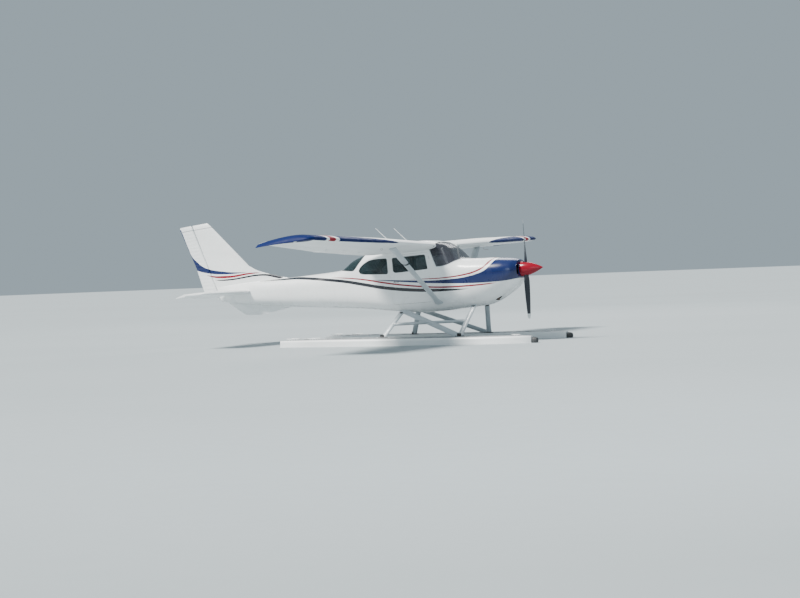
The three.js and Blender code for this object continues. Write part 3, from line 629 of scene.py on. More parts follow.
# Stripes, as rows (s, z, width) of each line's middle, or (s, z) of a band's edge
RED_LINE = [
    (862, 345, 32), (905, 292, 32), (945, 236, 34), (985, 172, 34), (1040, 116, 34),
    (1117, 67, 32), (1200, 34, 32), (1318, 2, 31), (1450, -18, 29), (1615, -35, 27),
    (1800, -44, 24), (2009, -47, 21), (2252, -39, 17), (2450, -28, 11), (2640, -18, 1)
]
BLUE_TOP = [
    (790, 340), (842, 262), (878, 204), (911, 155), (960, 95), (1032, 35), (1120, -3), (1234, -34),
    (1370, -58), (1530, -76), (1700, -82), (1900, -83), (2255, -73), (2520, -50), (2850, -20),
    (3180, 9), (3460, 34)
]
BLUE_FOOT = [
    (382, -150), (599, -196), (914, -208), (1278, -200), (1717, -172), (2199, -130), (2520, -93),
    (2850, -52), (3180, -8), (3460, 32)
]
LOW_RED = [
    (820, -228, 1), (920, -233, 18), (1046, -238, 26), (1396, -243, 31), (1762, -237, 32),
    (2137, -212, 32), (2504, -165, 32), (2874, -107, 32), (3257, -31, 32), (3649, 53, 28),
    (3992, 106, 22), (4242, 135, 16), (4480, 155, 1)
]
BLACK_LINE = [
    (1380, -300, 1), (1587, -299, 25), (1779, -293, 42), (2143, -274, 61), (2512, -243, 67),
    (2883, -197, 67), (3267, -133, 66), (3658, -47, 65), (4072, 42, 61), (4494, 109, 57),
    (5054, 183, 51), (5374, 213, 45), (5700, 215, 30), (5950, 219, 20), (6150, 220, 12),
    (6320, 219, 1)
]
FIN_BLUE_TOP = [
    (6640, 444), (6964, 464), (7304, 514), (7527, 562), (7719, 642), (7866, 758), (7972, 864),
    (8043, 1020), (8128, 1250), (8215, 1500)
]
FIN_BLUE_FOOT = [
    (6640, 442), (6966, 432), (7332, 450), (7587, 488), (7812, 546), (7900, 575), (8040, 590),
    (8300, 600)
]
FIN_RED = [
    (6320, 397, 1), (6433, 408, 20), (6686, 402, 36), (6971, 378, 44), (7282, 386, 48),
    (7453, 405, 34), (7640, 458, 1)
]
FIN_BLACK = [
    (5800, 262, 1), (5860, 282, 66), (5960, 306, 76), (6060, 325, 54), (6189, 346, 39),
    (6409, 357, 35), (6692, 338, 34), (6977, 317, 32), (7261, 319, 27), (7440, 336, 1)
]
CHART = {"s": 10.0, "low": -1.0, "high": 2.0}


def edges(line):
    """Upper and lower edges of a line, from its middle and width."""
    rows = np.array(line, float)
    along = np.gradient(rows[:, :2], axis=0)
    along /= np.linalg.norm(along, axis=1)[:, None]
    side = np.column_stack([-along[:, 1], along[:, 0]]) * rows[:, 2:] / 2
    return rows[:, :2] + side, rows[:, :2] - side


def chart(tree, s, rows):
    """Height in metres of an edge at station s, in metres."""
    graph = node(tree, "FloatCurve")
    mapping = graph.mapping
    mapping.extend = "HORIZONTAL"
    line = mapping.curves[0]
    reach = CHART["high"] - CHART["low"]
    points = [(a / 1000 / CHART["s"], (b / 1000 - CHART["low"]) / reach) for a, b in rows]
    for x, y in points[2:]:
        line.points.new(x, y)
    for point, (x, y) in zip(list(line.points), sorted(points), strict=True):
        point.location = (x, y)
    mapping.update()
    share = calc(tree, "DIVIDE", s, CHART["s"])
    tree.links.new(share, graph.inputs["Value"])
    return calc(tree, "MULTIPLY_ADD", graph.outputs[0], reach, CHART["low"])


def between(tree, s, z, top, foot, start, end):
    """1 between two edges and two stations, else 0."""
    under = calc(tree, "LESS_THAN", z, chart(tree, s, top))
    over = calc(tree, "GREATER_THAN", z, chart(tree, s, foot))
    after = calc(tree, "GREATER_THAN", s, start / 1000)
    before = calc(tree, "LESS_THAN", s, end / 1000)
    both = calc(tree, "MULTIPLY", under, over)
    return calc(tree, "MULTIPLY", both, calc(tree, "MULTIPLY", after, before))


def own_axes(tree):
    """Object coordinates turned to the aircraft's own axes, in metres."""
    inputs = {
        "Vector": node(tree, "TexCoord").outputs["Object"],
        "Location": (MIDDLE / 1000, 0, SHAFT_HEIGHT / 1000), "Rotation": (0, -PITCH, 0)
    }
    return node(tree, "Mapping", inputs, vector_type="TEXTURE").outputs[0]


def aircraft_place(tree):
    """Station and height on the aircraft's own axes, in metres, and then y, as sockets."""
    parts = node(tree, "SeparateXYZ", {0: own_axes(tree)})
    return calc(tree, "MULTIPLY", parts.outputs[0], -1.0), parts.outputs[2], parts.outputs[1]


def line_mask(tree, s, z, line):
    """1 on a stripe of changing width."""
    top, foot = edges(line)
    return between(tree, s, z, top, foot, line[0][0], line[-1][0])


class PaintSettings(bpy.types.PropertyGroup):
    """Colours of the paint scheme."""

    white: FloatVectorProperty(
        name="White", description="Colour of the skins", subtype="COLOR", default=(0.88, 0.9, 0.9)
    )
    blue: FloatVectorProperty(
        name="Blue", description="Colour of the nose, the wide band and the wing tips",
        subtype="COLOR", default=(0.002, 0.011, 0.082)
    )
    red: FloatVectorProperty(
        name="Red", description="Colour of the spinner and the thin lines", subtype="COLOR",
        default=(0.25, 0.001, 0.014)
    )
    black: FloatVectorProperty(
        name="Black", description="Colour of the dark line and the propeller", subtype="COLOR",
        default=(0.012, 0.014, 0.02)
    )
    deck: FloatVectorProperty(
        name="Deck", description="Colour of the floats' decks", subtype="COLOR",
        default=(0.34, 0.355, 0.37)
    )


class SizeSettings(bpy.types.PropertyGroup):
    """Sizes that a user may change."""

    rivet: FloatProperty(
        name="Rivet radius", description="Radius of a rivet's head", subtype="DISTANCE",
        default=0.0042
    )
    waterline: FloatProperty(
        name="Waterline", description="Height of the floor, where the water stands on the floats",
        subtype="DISTANCE", default=0.46
    )
    bead_pitch: FloatProperty(
        name="Bead pitch",
        description="Distance between the beads of the control surfaces, in millimetres",
        default=76.0
    )
    lens: FloatProperty(
        name="Lens", description="Focal length of the camera, in millimetres", default=79.41
    )
    seat_voxel: FloatProperty(
        name="Seat voxel", description="Cell size when the seat pads are remeshed",
        subtype="DISTANCE", default=0.012
    )
    cap: FloatProperty(
        name="Pad swell", description="How far a point of a seat pad may move when it is filled",
        subtype="DISTANCE", default=0.024
    )
    seed: IntProperty(name="Seed", description="Seed of the small turns of the screws", default=7)


def paint_colours():
    return bpy.context.scene.floatplane_paint


def sizes():
    return bpy.context.scene.floatplane_sizes


MATERIALS = {}


def striped_paint():
    """White skin with the fuselage's and the fin's stripes."""
    colours = paint_colours()
    material, tree, shader = recipe("fuselage_paint")
    s, z, _ = aircraft_place(tree)
    base = colour(colours.white)
    blue, red, black = (colour(c) for c in (colours.blue, colours.red, colours.black))
    band = between(tree, s, z, BLUE_TOP, BLUE_FOOT, 300, 3460)
    tone = mixed(tree, band, base, blue)
    front = calc(tree, "LESS_THAN", s, 0.79)
    over = calc(tree, "GREATER_THAN", z, chart(tree, s, BLUE_FOOT))
    tone = mixed(tree, calc(tree, "MULTIPLY", front, over), tone, blue)
    fin = between(tree, s, z, FIN_BLUE_TOP, FIN_BLUE_FOOT, 6640, 8300)
    tone = mixed(tree, fin, tone, blue)
    for line, paint in (
        (RED_LINE, red),
        (LOW_RED, red),
        (BLACK_LINE, black),
        (FIN_RED, red),
        (FIN_BLACK, black),
    ):
        tone = mixed(tree, line_mask(tree, s, z, line), tone, paint)
    cap = calc(tree, "MULTIPLY_ADD", s, -0.056, 1.88)
    off = calc(tree, "ABSOLUTE", calc(tree, "SUBTRACT", z, cap))
    groove = calc(tree, "LESS_THAN", off, 0.0065)
    tone = mixed(tree, groove, tone, (0.3, 0.32, 0.34, 1))
    tone = worn(tree, tone, 0.93, 1.6)
    # Paint made darker towards the belly
    darker_low = spread(tree, z, 0.9, 1.0, -0.72, -0.45)
    tone = toned(tree, tone, darker_low)
    surface(tree, shader, tone, 0.3, 0.07, (34, 0.0006), coat=0.3)
    return material


# Distances from the middle where the bands of the wing's tip and the dark edge start, in metres
WING_BANDS = {"tip": 5.285, "blue": 4.89, "white": 4.79, "red": 4.57, "inner": 4.44, "thin": 2.2}


def wing_paint():
    """White wing with a blue tip, its three bands and the dark leading edge."""
    colours = paint_colours()
    material, tree, shader = recipe("wing_paint")
    s, z, y = aircraft_place(tree)
    span = calc(tree, "ABSOLUTE", y)
    lead, height, taper, rib = (WING[k] / 1000 for k in ("lead", "height", "break", "rib"))
    out = spread(tree, span, 0.0, 0.12, taper, rib)
    chordwise = calc(tree, "SUBTRACT", calc(tree, "SUBTRACT", s, lead), out)
    chord = calc(tree, "MAXIMUM", chordwise, 0.0)
    rise = calc(tree, "SUBTRACT", z, calc(tree, "MULTIPLY_ADD", span, WING["rise"], height))
    above = calc(tree, "GREATER_THAN", rise, 0.004)
    sweep = calc(tree, "MULTIPLY", calc(tree, "POWER", chord, 1.3), 0.3)
    swept = calc(tree, "SUBTRACT", span, calc(tree, "MULTIPLY", sweep, above))
    swept = calc(tree, "SUBTRACT", swept, calc(tree, "MULTIPLY", chord, 0.1))
    reach_top = spread(tree, span, 0.0, 0.26, WING_BANDS["thin"], WING_BANDS["inner"])
    reach_under = spread(tree, span, 0.0, 0.035, WING_BANDS["thin"], WING_BANDS["inner"])
    reach = blended(tree, above, reach_under, reach_top)
    wedge = calc(tree, "LESS_THAN", chord, reach)
    reach_band = blended(tree, above, 0.045, 2.0)
    near = calc(tree, "LESS_THAN", chord, reach_band)
    base = colour(colours.white)
    blue, red = colour(colours.blue), colour(colours.red)
    tone = mixed(tree, wedge, base, blue)

    def beyond(limit):
        return calc(tree, "MULTIPLY", near, calc(tree, "GREATER_THAN", swept, limit))

    for limit, paint in (
        (WING_BANDS["inner"], base),
        (WING_BANDS["red"], red),
        (WING_BANDS["white"], base),
        (WING_BANDS["blue"], blue),
    ):
        tone = mixed(tree, beyond(limit), tone, paint)
    tip = calc(tree, "GREATER_THAN", span, WING_BANDS["tip"])
    tone = mixed(tree, tip, tone, blue)
    tone = worn(tree, tone, 0.92, 1.4, (2, 0.5, 1))
    surface(tree, shader, tone, 0.52, 0.07, (26, 0.0006), shine=0.14)
    return material


def propeller_paint():
    """Chipped black blades with light tips."""
    colours = paint_colours()
    material, tree, shader = recipe("propeller_paint")
    own = {0: own_axes(tree), 1: (0, 1, 1)}
    flat = node(tree, "VectorMath", own, operation="MULTIPLY").outputs[0]
    radius = node(tree, "VectorMath", {0: flat}, operation="LENGTH").outputs["Value"]
    tip = calc(tree, "GREATER_THAN", radius, 0.885)
    tone = mixed(tree, tip, colour(colours.black, 1.6), (0.75, 0.76, 0.75, 1))
    chips = spread(tree, noise(tree, 70, 3), 0.0, 0.35, 0.62, 0.7)
    tone = mixed(tree, chips, tone, (0.2, 0.2, 0.2, 1))
    surface(tree, shader, tone, 0.38, 0.08, (60, 0.0004))
    return material


def glass_paint(name, tint, alpha):
    """Tinted glass with faint smears."""
    material, tree, shader = recipe(name)
    smear = spread(tree, noise(tree, 3.0, 4.0), 0.9, 1.1)
    tone = toned(tree, colour(tint), smear)
    tree.links.new(tone, shader.inputs["Base Color"])
    cloud = spread(tree, noise(tree, 2.0, 3.0), alpha - 0.04, alpha + 0.04)
    tree.links.new(cloud, shader.inputs["Alpha"])
    haze = spread(tree, noise(tree, 6.0, 4.0), 0.1, 0.2)
    tree.links.new(haze, shader.inputs["Roughness"])
    shader.inputs["Specular IOR Level"].default_value = 0.35
    shader.inputs["Coat Weight"].default_value = 0.3
    shader.inputs["Coat Roughness"].default_value = 0.2
    return material


def cloth_paint(name, rgb):
    """Woven seat cloth."""
    material, tree, shader = recipe(name)
    place = node(tree, "TexCoord").outputs["Object"]
    threads = {"Vector": place, "Scale": 150, "Distortion": 2.0, "Detail": 2.0}
    weave = node(tree, "TexWave", threads)
    cross = node(tree, "TexWave", threads, bands_direction="Z")
    both = calc(tree, "MULTIPLY", weave.outputs["Fac"], cross.outputs["Fac"])
    tone = mixed(tree, both, colour(rgb, 0.8), colour(rgb, 1.15))
    tone = worn(tree, tone, 0.85, 6.0)
    tree.links.new(tone, shader.inputs["Base Color"])
    shader.inputs["Roughness"].default_value = 0.88
    shader.inputs["Sheen Weight"].default_value = 0.25
    bumped(tree, shader, both, 0.4, 0.0008)
    return material


def deck_paint():
    """Grey anti-slip paint with fine grit."""
    material, tree, shader = recipe("deck_paint")
    deck = paint_colours().deck
    grit = noise(tree, 420, 2.0)
    tone = mixed(tree, spread(tree, grit, 0, 1), colour(deck, 0.86), colour(deck))
    tone = worn(tree, tone, 0.84, 3.0, (0.6, 2, 1))
    tree.links.new(tone, shader.inputs["Base Color"])
    shader.inputs["Roughness"].default_value = 0.72
    bumped(tree, shader, grit, 0.5, 0.0012)
    return material


def make_materials():
    colours = paint_colours()
    made = {
        "skin": striped_paint(), "wing": wing_paint(), "blades": propeller_paint(),
        "red": plain(
            "spinner_red", colours.red, 0.24, (30, 0.0004), coat=0.1, dark=0.9, shine=0.3
        ),
        "white": plain("white_paint", colours.white, 0.34, (30, 0.0006), coat=0.3, dark=0.93),
        "hull": plain("float_paint", (0.86, 0.88, 0.88), 0.4, (14, 0.0012), coat=0.2, dark=0.88),
        # Light grey paint made as dark as the struts look in the wing's shade: partly painted
        # shade
        "strut": plain("strut_paint_and_shade", (0.52, 0.57, 0.6), 0.36, (22, 0.0008), coat=0.2),
        "deck": deck_paint(),
        "rubber": plain("grey_rubber", (0.05, 0.052, 0.055), 0.62, (90, 0.001), dark=0.7),
        "seal": plain("window_seal", (0.06, 0.065, 0.07), 0.55, (120, 0.0006), dark=0.8),
        "trim": plain("window_trim", (0.62, 0.66, 0.68), 0.4, (60, 0.0005), coat=0.2),
        "steel": plain("bare_steel", (0.5, 0.5, 0.51), 0.32, (70, 0.0004), 0.9, dark=0.75),
        "soot": plain("exhaust_steel", (0.16, 0.12, 0.1), 0.55, (80, 0.0008), 0.6, dark=0.6),
        "iron": plain("engine_iron", (0.11, 0.115, 0.12), 0.5, (40, 0.002), 0.4, dark=0.7),
        "black": plain("black_paint", (0.02, 0.021, 0.023), 0.42, (60, 0.0005), dark=0.75),
        "lining": plain("cabin_lining", (0.36, 0.36, 0.35), 0.75, (200, 0.0006), dark=0.85),
        "plastic": plain("cabin_plastic", (0.1, 0.105, 0.11), 0.55, (240, 0.0005), dark=0.8),
        "carpet": plain("cabin_carpet", (0.07, 0.075, 0.085), 0.95, (500, 0.002), dark=0.75),
        "seat": cloth_paint("seat_cloth", (0.2, 0.215, 0.235)),
        "glass": glass_paint("smoked_glass", (0.014, 0.034, 0.038), 0.55),
        "clear": glass_paint("windshield_glass", (0.055, 0.058, 0.075), 0.46),
        "lamp_red": plain("red_lens", (0.5, 0.01, 0.012), 0.12, (20, 0.0002), coat=1.0),
        "lamp": plain("clear_lens", (0.75, 0.77, 0.78), 0.1, (20, 0.0002), coat=1.0),
        "dial": plain("dial_face", (0.015, 0.015, 0.016), 0.3, (200, 0.0002), coat=0.6),
        "mark": plain("dial_mark", (0.75, 0.75, 0.72), 0.5, (200, 0.0002)),
        # Near-black inner finish of the cowl and the tail cone: painted shade inside them
        "hole": plain("dark_inside", (0.012, 0.012, 0.013), 0.85, (40, 0.001))
    }
    MATERIALS.update(made)


class Piece:
    """What every operator of the aircraft has in common."""

    bl_options = {"REGISTER"}


class FLOATPLANE_OT_materials(Piece, bpy.types.Operator):
    """Make the paints, metals, glass and cloth"""

    bl_idname = "floatplane.materials"
    bl_label = "Finishes"

    def execute(self, context):
        make_materials()
        return {"FINISHED"}


# Nose

COWL = {"front": 455, "lip": 34, "wall": 14, "split": -20, "end": 1339.5}
INLET = {"y": 208, "low": -38, "high": 52, "radius": 70}
OUTLET = {"from": 1210, "to": 1325, "half": 170, "top": -600}
STACK = {"s": 925, "y": -150}


def stadium(y, low, high, radius, steps=14):
    """Outline (y, z) of an upright slot with round ends."""
    return [
        (y + radius * math.cos(a), z + radius * math.sin(a))
        for z, start in ((high, 0), (low, math.pi))
        for a in np.linspace(start, start + math.pi, steps)
    ]


def inlet(side, steps=14):
    """Outline of an air inlet."""
    return stadium(side * INLET["y"], INLET["low"], INLET["high"], INLET["radius"], steps)


def cowl_solid(name, inset, start, end):
    """The cowling's solid, with a rounded front lip."""
    s = np.r_[
        start + COWL["lip"] * (1 - np.cos(np.linspace(0, math.pi / 2, 9))),
        np.linspace(start + COWL["lip"] + 30, end, 24)
    ]
    ahead = np.clip((start + COWL["lip"] - s) / COWL["lip"], 0, 1)
    lip = COWL["lip"] * (1 - np.sqrt(1 - ahead**2))
    return loft(name, body_rings(s, inset + lip))


class FLOATPLANE_OT_nose(Piece, bpy.types.Operator):
    """Cowling, air inlets with their lips, outlet, exhaust and the engine behind them"""

    bl_idname = "floatplane.nose"
    bl_label = "Nose"

    def execute(self, context):
        outlet = rectangle((OUTLET["from"], OUTLET["to"]), (-OUTLET["half"], OUTLET["half"]))
        stack_hole = [
            (STACK["s"] - 8 + 78 * math.cos(a), STACK["y"] + 56 * math.sin(a)) for a in turns(28)
        ]
        for name, low, high, node_name in (
            ("nose_cowl_top", COWL["split"] + 1.2, BEYOND, "cowl_upper"),
            ("nose_cowl_bottom", -BEYOND, COWL["split"] - 1.2, "cowl_lower"),
        ):
            cowl = cowl_solid(name, 0, COWL["front"], COWL["end"])
            start = COWL["front"] + COWL["wall"]
            carved(cowl, cowl_solid("cutter", COWL["wall"], start, COWL["end"] + 25))
            for hole in (inlet(1), inlet(-1), stadium(0, 0, 0, 62, 16)):
                carved(cowl, prism(hole, 400, 620, "s"))
            carved(cowl, box("cutter", (300, 1500), ALL, (low, high)), "INTERSECT")
            if node_name == "cowl_lower":
                carved(cowl, prism(rounded(outlet, 40), -BEYOND, OUTLET["top"], "z"))
                carved(cowl, prism(stack_hole, -BEYOND, -300, "z"))
            # Inner faces take the near-black finish: painted shade inside the cowl
            body_shaded(cowl, lining=1)
            fitted(cowl, ("skin", "hole"), node_name)
        lips = []
        for side in (1, -1):
            path = np.array([(COWL["front"] + 5, y, z) for y, z in inlet(side, 16)])
            middle = np.array([0, side * INLET["y"], (INLET["low"] + INLET["high"]) / 2])
            outs = [out / np.linalg.norm(out) for out in (path - middle) * (0, 1, 1)]
            lips.append(hoop("lip", path, outs, AFT, 7, 10))
        fitted(shade(joined("inlet_lips", lips), 60), "skin", slot="blue_paint")
        sides = (208, -208)
        baffles = [box("baffle", (560, 566), (y - 95, y + 95), (-130, 130)) for y in sides]
        for z in range(-120, 105, 28):
            baffles += [box("fin", (545, 560), (y - 88, y + 88), (z, z + 4)) for y in sides]
        baffle = bevelled(joined("cylinder_baffles", baffles), 1, 1)
        fitted(shade(baffle), "iron", slot="engine_iron")
        pipe = [(0, 24), (0, 27), (-180, 27), (-318, 27), (-322, 27.5), (-322, 24.5), (-60, 24)]
        stack = turned("exhaust_pipe", pipe, (STACK["s"], STACK["y"], -250.5), UP, 28)
        fitted(shade(stack), "soot", "exhaust_stack", slot="bare_steel")
        return {"FINISHED"}


# Spinner and propeller

SPINNER = {"length": 445, "radius": 146}
# The blades' tips are rounded from "round" out
PROP = {"plane": 360, "radius": 980, "round": 915, "turn": math.radians(2)}
# Distance from the shaft, chord, thickness and twist in degrees
BLADE = np.array(
    [
        [30, 86, 46, 64], [110, 90, 40, 56], [260, 128, 26, 40], [520, 134, 18, 27],
        [800, 112, 12, 20], [950, 84, 8, 17], [980, 44, 5, 16]
    ],
    float
)


def spun(points):
    """Points turned with the propeller about its shaft."""
    p = np.asarray(points, float).reshape(-1, 3).copy()
    c, d = math.cos(-PROP["turn"]), math.sin(-PROP["turn"])
    y, z = p[:, 1].copy(), p[:, 2].copy()
    p[:, 1], p[:, 2] = y * c - z * d, y * d + z * c
    return p


def blade_rings(direction):
    """Sections of a blade, from its round root to its tip."""
    inner, outer = PROP["round"], PROP["radius"]
    radii = np.r_[30, 70, np.linspace(110, 900, 34), np.linspace(inner, outer, 12)]
    chord, thick, twist = (eased(BLADE[:, 0], BLADE[:, k], radii) for k in (1, 2, 3))
    near_tip = np.clip((radii - inner) / (outer - inner), 0, 1)
    chord = np.where(radii > inner, 98 * np.sqrt(1 - 0.86 * near_tip**2.2), chord)
    around = np.linspace(0, 1, 15)
    front = np.r_[around, around[::-1][1:-1]]
    upper = np.r_[np.ones(15), -np.ones(13)]
    profile = 4.2 * np.sqrt(front) * (1 - front) * (1 - 0.25 * front)
    profile = np.where(upper > 0, 0.36 * profile, 0.11 * profile)
    rings = []
    for r, c, t, w in zip(radii, chord, thick, np.radians(twist), strict=True):
        round_root = np.clip((170 - r) / 120, 0, 1)
        u = 0.5 - front
        v = upper * profile
        angle = turns(len(u))
        u = u * (1 - round_root) + 0.5 * np.cos(angle) * round_root
        v = v * (1 - round_root) + 0.5 * np.sin(angle) * round_root
        across = (-u * c * math.cos(w) + v * t * math.sin(w)) * direction
        ahead = u * c * math.sin(w) + v * t * math.cos(w)
        rings.append(
            spun(np.column_stack([PROP["plane"] - ahead, across, np.full(len(u), direction * r)]))
        )
    return rings


class FLOATPLANE_OT_propeller(Piece, bpy.types.Operator):
    """Two-blade propeller with its hub, and the pointed spinner"""

    bl_idname = "floatplane.propeller"
    bl_label = "Propeller and spinner"

    def execute(self, context):
        parts = [loft("blade", blade_rings(direction)) for direction in (1, -1)]
        hub = [(0, 46), (4, 60), (14, 62), (82, 62), (92, 60), (96, 46)]
        parts.append(turned("hub", hub, (312, 0, 0), AFT, 40))
        for k in range(6):
            a = k * math.pi / 3 + 0.3
            place = (306, 40 * math.cos(a), 40 * math.sin(a))
            parts.append(turned("bolt", [(0, 5), (1, 8), (9, 8)], place, AFT, 6))
        blades = shade(joined("propeller_blades", parts), 38)
        fitted(blades, "blades", "propeller", slot="black_paint", body="propeller")

        length, radius = SPINNER["length"], SPINNER["radius"]
        outer = [
            (t * length, radius * math.sin(t * math.pi / 2) ** 0.92)
            for t in np.linspace(0.0, 1, 44) ** 1.25
        ]
        inner = [(t + 5, max(r - 4, 0.4)) for t, r in outer[:-2][::-1]]
        profile = outer + [(length, radius - 4)] + inner
        spinner = turned("nose_spinner", profile, (0, 0, 0), AFT, 96)
        half = [(360 - 60 * math.cos(a), 68 * math.sin(a)) for a in np.linspace(0, math.pi, 12)]
        root = [(300, 0)] + half[1:-1] + [(420, 0)]
        root += [(s, -y) for s, y in half[-2:0:-1]]
        for low, high in ((60, 400), (-400, -60)):
            cutter = prism(root, low, high, "z")
            corners = cutter.data.vertices
            places = world(spun(aircraft([v.co for v in corners])))
            for vertex, place in zip(corners, places, strict=True):
                vertex.co = place
            carved(spinner, cutter)
        disc = [(0, 50), (0, 142.5), (4, 144), (6, 144), (6, 50)]
        plate = shade(turned("plate", disc, (436, 0, 0), AFT, 96))
        parts = [coated(shade(spinner, 30), "red"), coated(plate, "steel")]
        whole = joined("nose_spinner_shell", parts)
        fitted(whole, ("red", "steel"), "spinner", slot="red_paint", body="propeller")
        return {"FINISHED"}


# Cabin

TAIL_CUT = {"s": (7128, 7600), "z": (-23, 83)}
CARPET = {"low": -530, "high": -511.5}


def tail_cut(piece):
    """Cuts the slot for the tailplane's spar and the slanted rear end."""
    carved(piece, box("cutter", TAIL_CUT["s"], ALL, TAIL_CUT["z"]))
    (low, low_z), (high, high_z) = ((hinge_s(z) - HINGE_GAP, z) for z in (-400, 400))
    rear = [(low, low_z), (high, high_z), (high + 720, high_z), (low + 720, low_z)]
    return carved(piece, prism(rear))


class FLOATPLANE_OT_cabin(Piece, bpy.types.Operator):
    """Cabin walls, roof, belly, the panel ahead of the windshield and the tail cone"""

    bl_idname = "floatplane.cabin"
    bl_label = "Cabin and tail cone"

    def execute(self, context):
        cabin = body_shell("cabin_shell", CABIN_START, CABIN_END, 0, WALL)
        for outline in (GLASS_FRONT_SHAPE, GLASS_BACK_SHAPE, SIDE_WINDOW_SHAPE, DOOR_SHAPE):
            carved(cabin, prism(outline))
        body_shaded(cabin, lining=1)
        fitted(
            cabin, ("skin", "lining"), "scuttle", "cabin_roof", "cabin_side_left",
            "cabin_side_right", "cabin_floor"
        )
        cone = tail_cut(body_shell("tail_cone_shell", CABIN_END + 2, CONE_END, 0, 12, 60))
        # Inner faces take the near-black finish: painted shade inside the tail cone
        body_shaded(cone, lining=1)
        plug = tail_cut(body_block("tail_plug", 7050, CONE_END, 10))
        fitted(shade(plug), "white")
        fitted(cone, ("skin", "hole"), "tail_cone")
        floor = body_block("floor_panel", CABIN_START + 30, CABIN_END, WALL + 2)
        for z in ((CARPET["high"], BEYOND), (-BEYOND, CARPET["low"])):
            carved(floor, box("cutter", (1000, 4600), ALL, z))
        fitted(shade(floor), "carpet", slot="cabin_plastic")
        for name, start, look, slot, node_name in (
            ("rear_partition", 4372, "lining", "cabin_plastic", "bulkhead"),
            ("firewall_sheet", 1346, "steel", "bare_steel", "firewall"),
        ):
            sheet = bevelled(body_block(name, start, start + 12, WALL - 3), 2)
            fitted(shade(sheet), look, node_name, slot=slot)
        return {"FINISHED"}


# Insets of the panes' two faces, and of each seal's faces with its reach out and in
PANE, SIDE_PANE = (4, 9), (5, 10)
SEAL, SIDE_SEAL = (-1.5, 14, 0.5, 12), (-1.5, 16, 0.5, 9)
SIDE_LIMITS = {0: ALL, 1: (60, BEYOND), -1: (-BEYOND, -60)}


def window_band(name, outline, start, end, outer, inner, wide, narrow, side=0):
    """A frame round an opening: the wall between two insets and between two outlines."""
    band = body_shell(name, start, end, outer, inner)
    carved(band, prism(grown(outline, wide), *SIDE_LIMITS[side]), "INTERSECT")
    carved(band, prism(grown(outline, -narrow)))
    return body_shaded(band)


def pane(name, outline, start, end, outer, inner, side=0):
    """Glass a little inside its opening's outline."""
    band = body_shell(name, start, end, outer, inner)
    carved(band, prism(grown(outline, -2), *SIDE_LIMITS[side]), "INTERSECT")
    return body_shaded(band)


class FLOATPLANE_OT_glazing(Piece, bpy.types.Operator):
    """Windshield, rear window and side windows with their seals"""

    bl_idname = "floatplane.glazing"
    bl_label = "Glazing"

    def execute(self, context):
        front = pane("windshield_pane", GLASS_FRONT_SHAPE, 1400, 2200, *PANE)
        fitted(front, "clear", "windshield", slot="glazing")
        back = pane("rear_pane", GLASS_BACK_SHAPE, 3500, 4396, *PANE)
        fitted(back, "glass", "rear_window", slot="glazing")
        for name, side in SIDES:
            glass = pane("side_pane_" + name, SIDE_WINDOW_SHAPE, 3050, 3820, *SIDE_PANE, side)
            fitted(glass, "glass", "side_window_" + name, slot="glazing")
            seal = "side_seal_" + name
            seal = window_band(seal, SIDE_WINDOW_SHAPE, 3050, 3830, *SIDE_SEAL, side)
            fitted(seal, "seal", slot="bumper_rubber")
        seal = window_band("windshield_seal", GLASS_FRONT_SHAPE, 1400, 2240, *SEAL)
        # Above z 520 the seal is black, painted shadow under the roof's edge; below it takes the
        # light trim
        for face in seal.data.polygons:
            face.material_index = int(aircraft(face.center)[0][2] > 520)
        fitted(seal, ("trim", "seal"), slot="bumper_rubber")
        seal = window_band("rear_window_seal", GLASS_BACK_SHAPE, 3500, 4397, *SEAL)
        fitted(seal, "seal", slot="bumper_rubber")
        return {"FINISHED"}


def on_side(s, z, side, proud=0.0):
    """A point on the fuselage's side, proud of the skin."""
    y = float(body_side(s, z))
    point = np.array([[s, side * y, z]])
    return (point + body_out(point) * proud)[0]


class FLOATPLANE_OT_doors(Piece, bpy.types.Operator):
    """Cabin doors with their window, seal and handle"""

    bl_idname = "floatplane.doors"
    bl_label = "Doors"

    def execute(self, context):
        for name, side in SIDES:
            body = "door_" + name
            door = body_shell("cabin_door_" + name, 2150, 3100, 0, WALL - 2, 34)
            carved(door, prism(grown(DOOR_SHAPE, -3.5), *SIDE_LIMITS[side]), "INTERSECT")
            carved(door, prism(DOOR_WINDOW_SHAPE))
            body_shaded(door, lining=1)
            fitted(door, ("skin", "lining"), "door_" + name, body=body)
            glass = pane("door_pane_" + name, DOOR_WINDOW_SHAPE, 2200, 3040, *SIDE_PANE, side)
            fitted(glass, "glass", "door_glass_" + name, slot="glazing", body=body)
            seal = "door_seal_" + name
            seal = window_band(seal, DOOR_WINDOW_SHAPE, 2200, 3040, *SIDE_SEAL, side)
            fitted(seal, "seal", slot="bumper_rubber", body=body)
            start, end = on_side(2870, -60, side, 6), on_side(2985, -56, side, 6)
            path = [
                start + (end - start) * t + np.array([0, side * 12 * math.sin(math.pi * t), 0])
                for t in np.linspace(0, 1, 7)
            ]
            bar = tube("handle", path, [5, 7, 8, 8, 8, 7, 5], 12)
            foot = on_side(2965, -58, side, -1)
            plate = turned("plate", [(0, 24), (4, 24), (6, 20)], foot, (0, side, 0), 24)
            handle = shade(joined("door_handle_" + name, [bar, plate]), 50)
            fitted(handle, "steel", slot="bare_steel", body=body)
        return {"FINISHED"}


# Wing

WING = {
    "root": 560.0, "break": 2640.0, "rib": 5280.0, "half": 5460.0, "lead": 2016.0, "height": 586.0,
    "rise": 0.032, "root_chord": 1626.0, "tip_chord": 1130.0, "flap": 0.72, "aileron": 0.76,
    "gap": 8 / 1626.0
}
FLAP_SPAN = (580.0, 2625.0)
AILERON_SPAN = (2652.0, 5210.0)
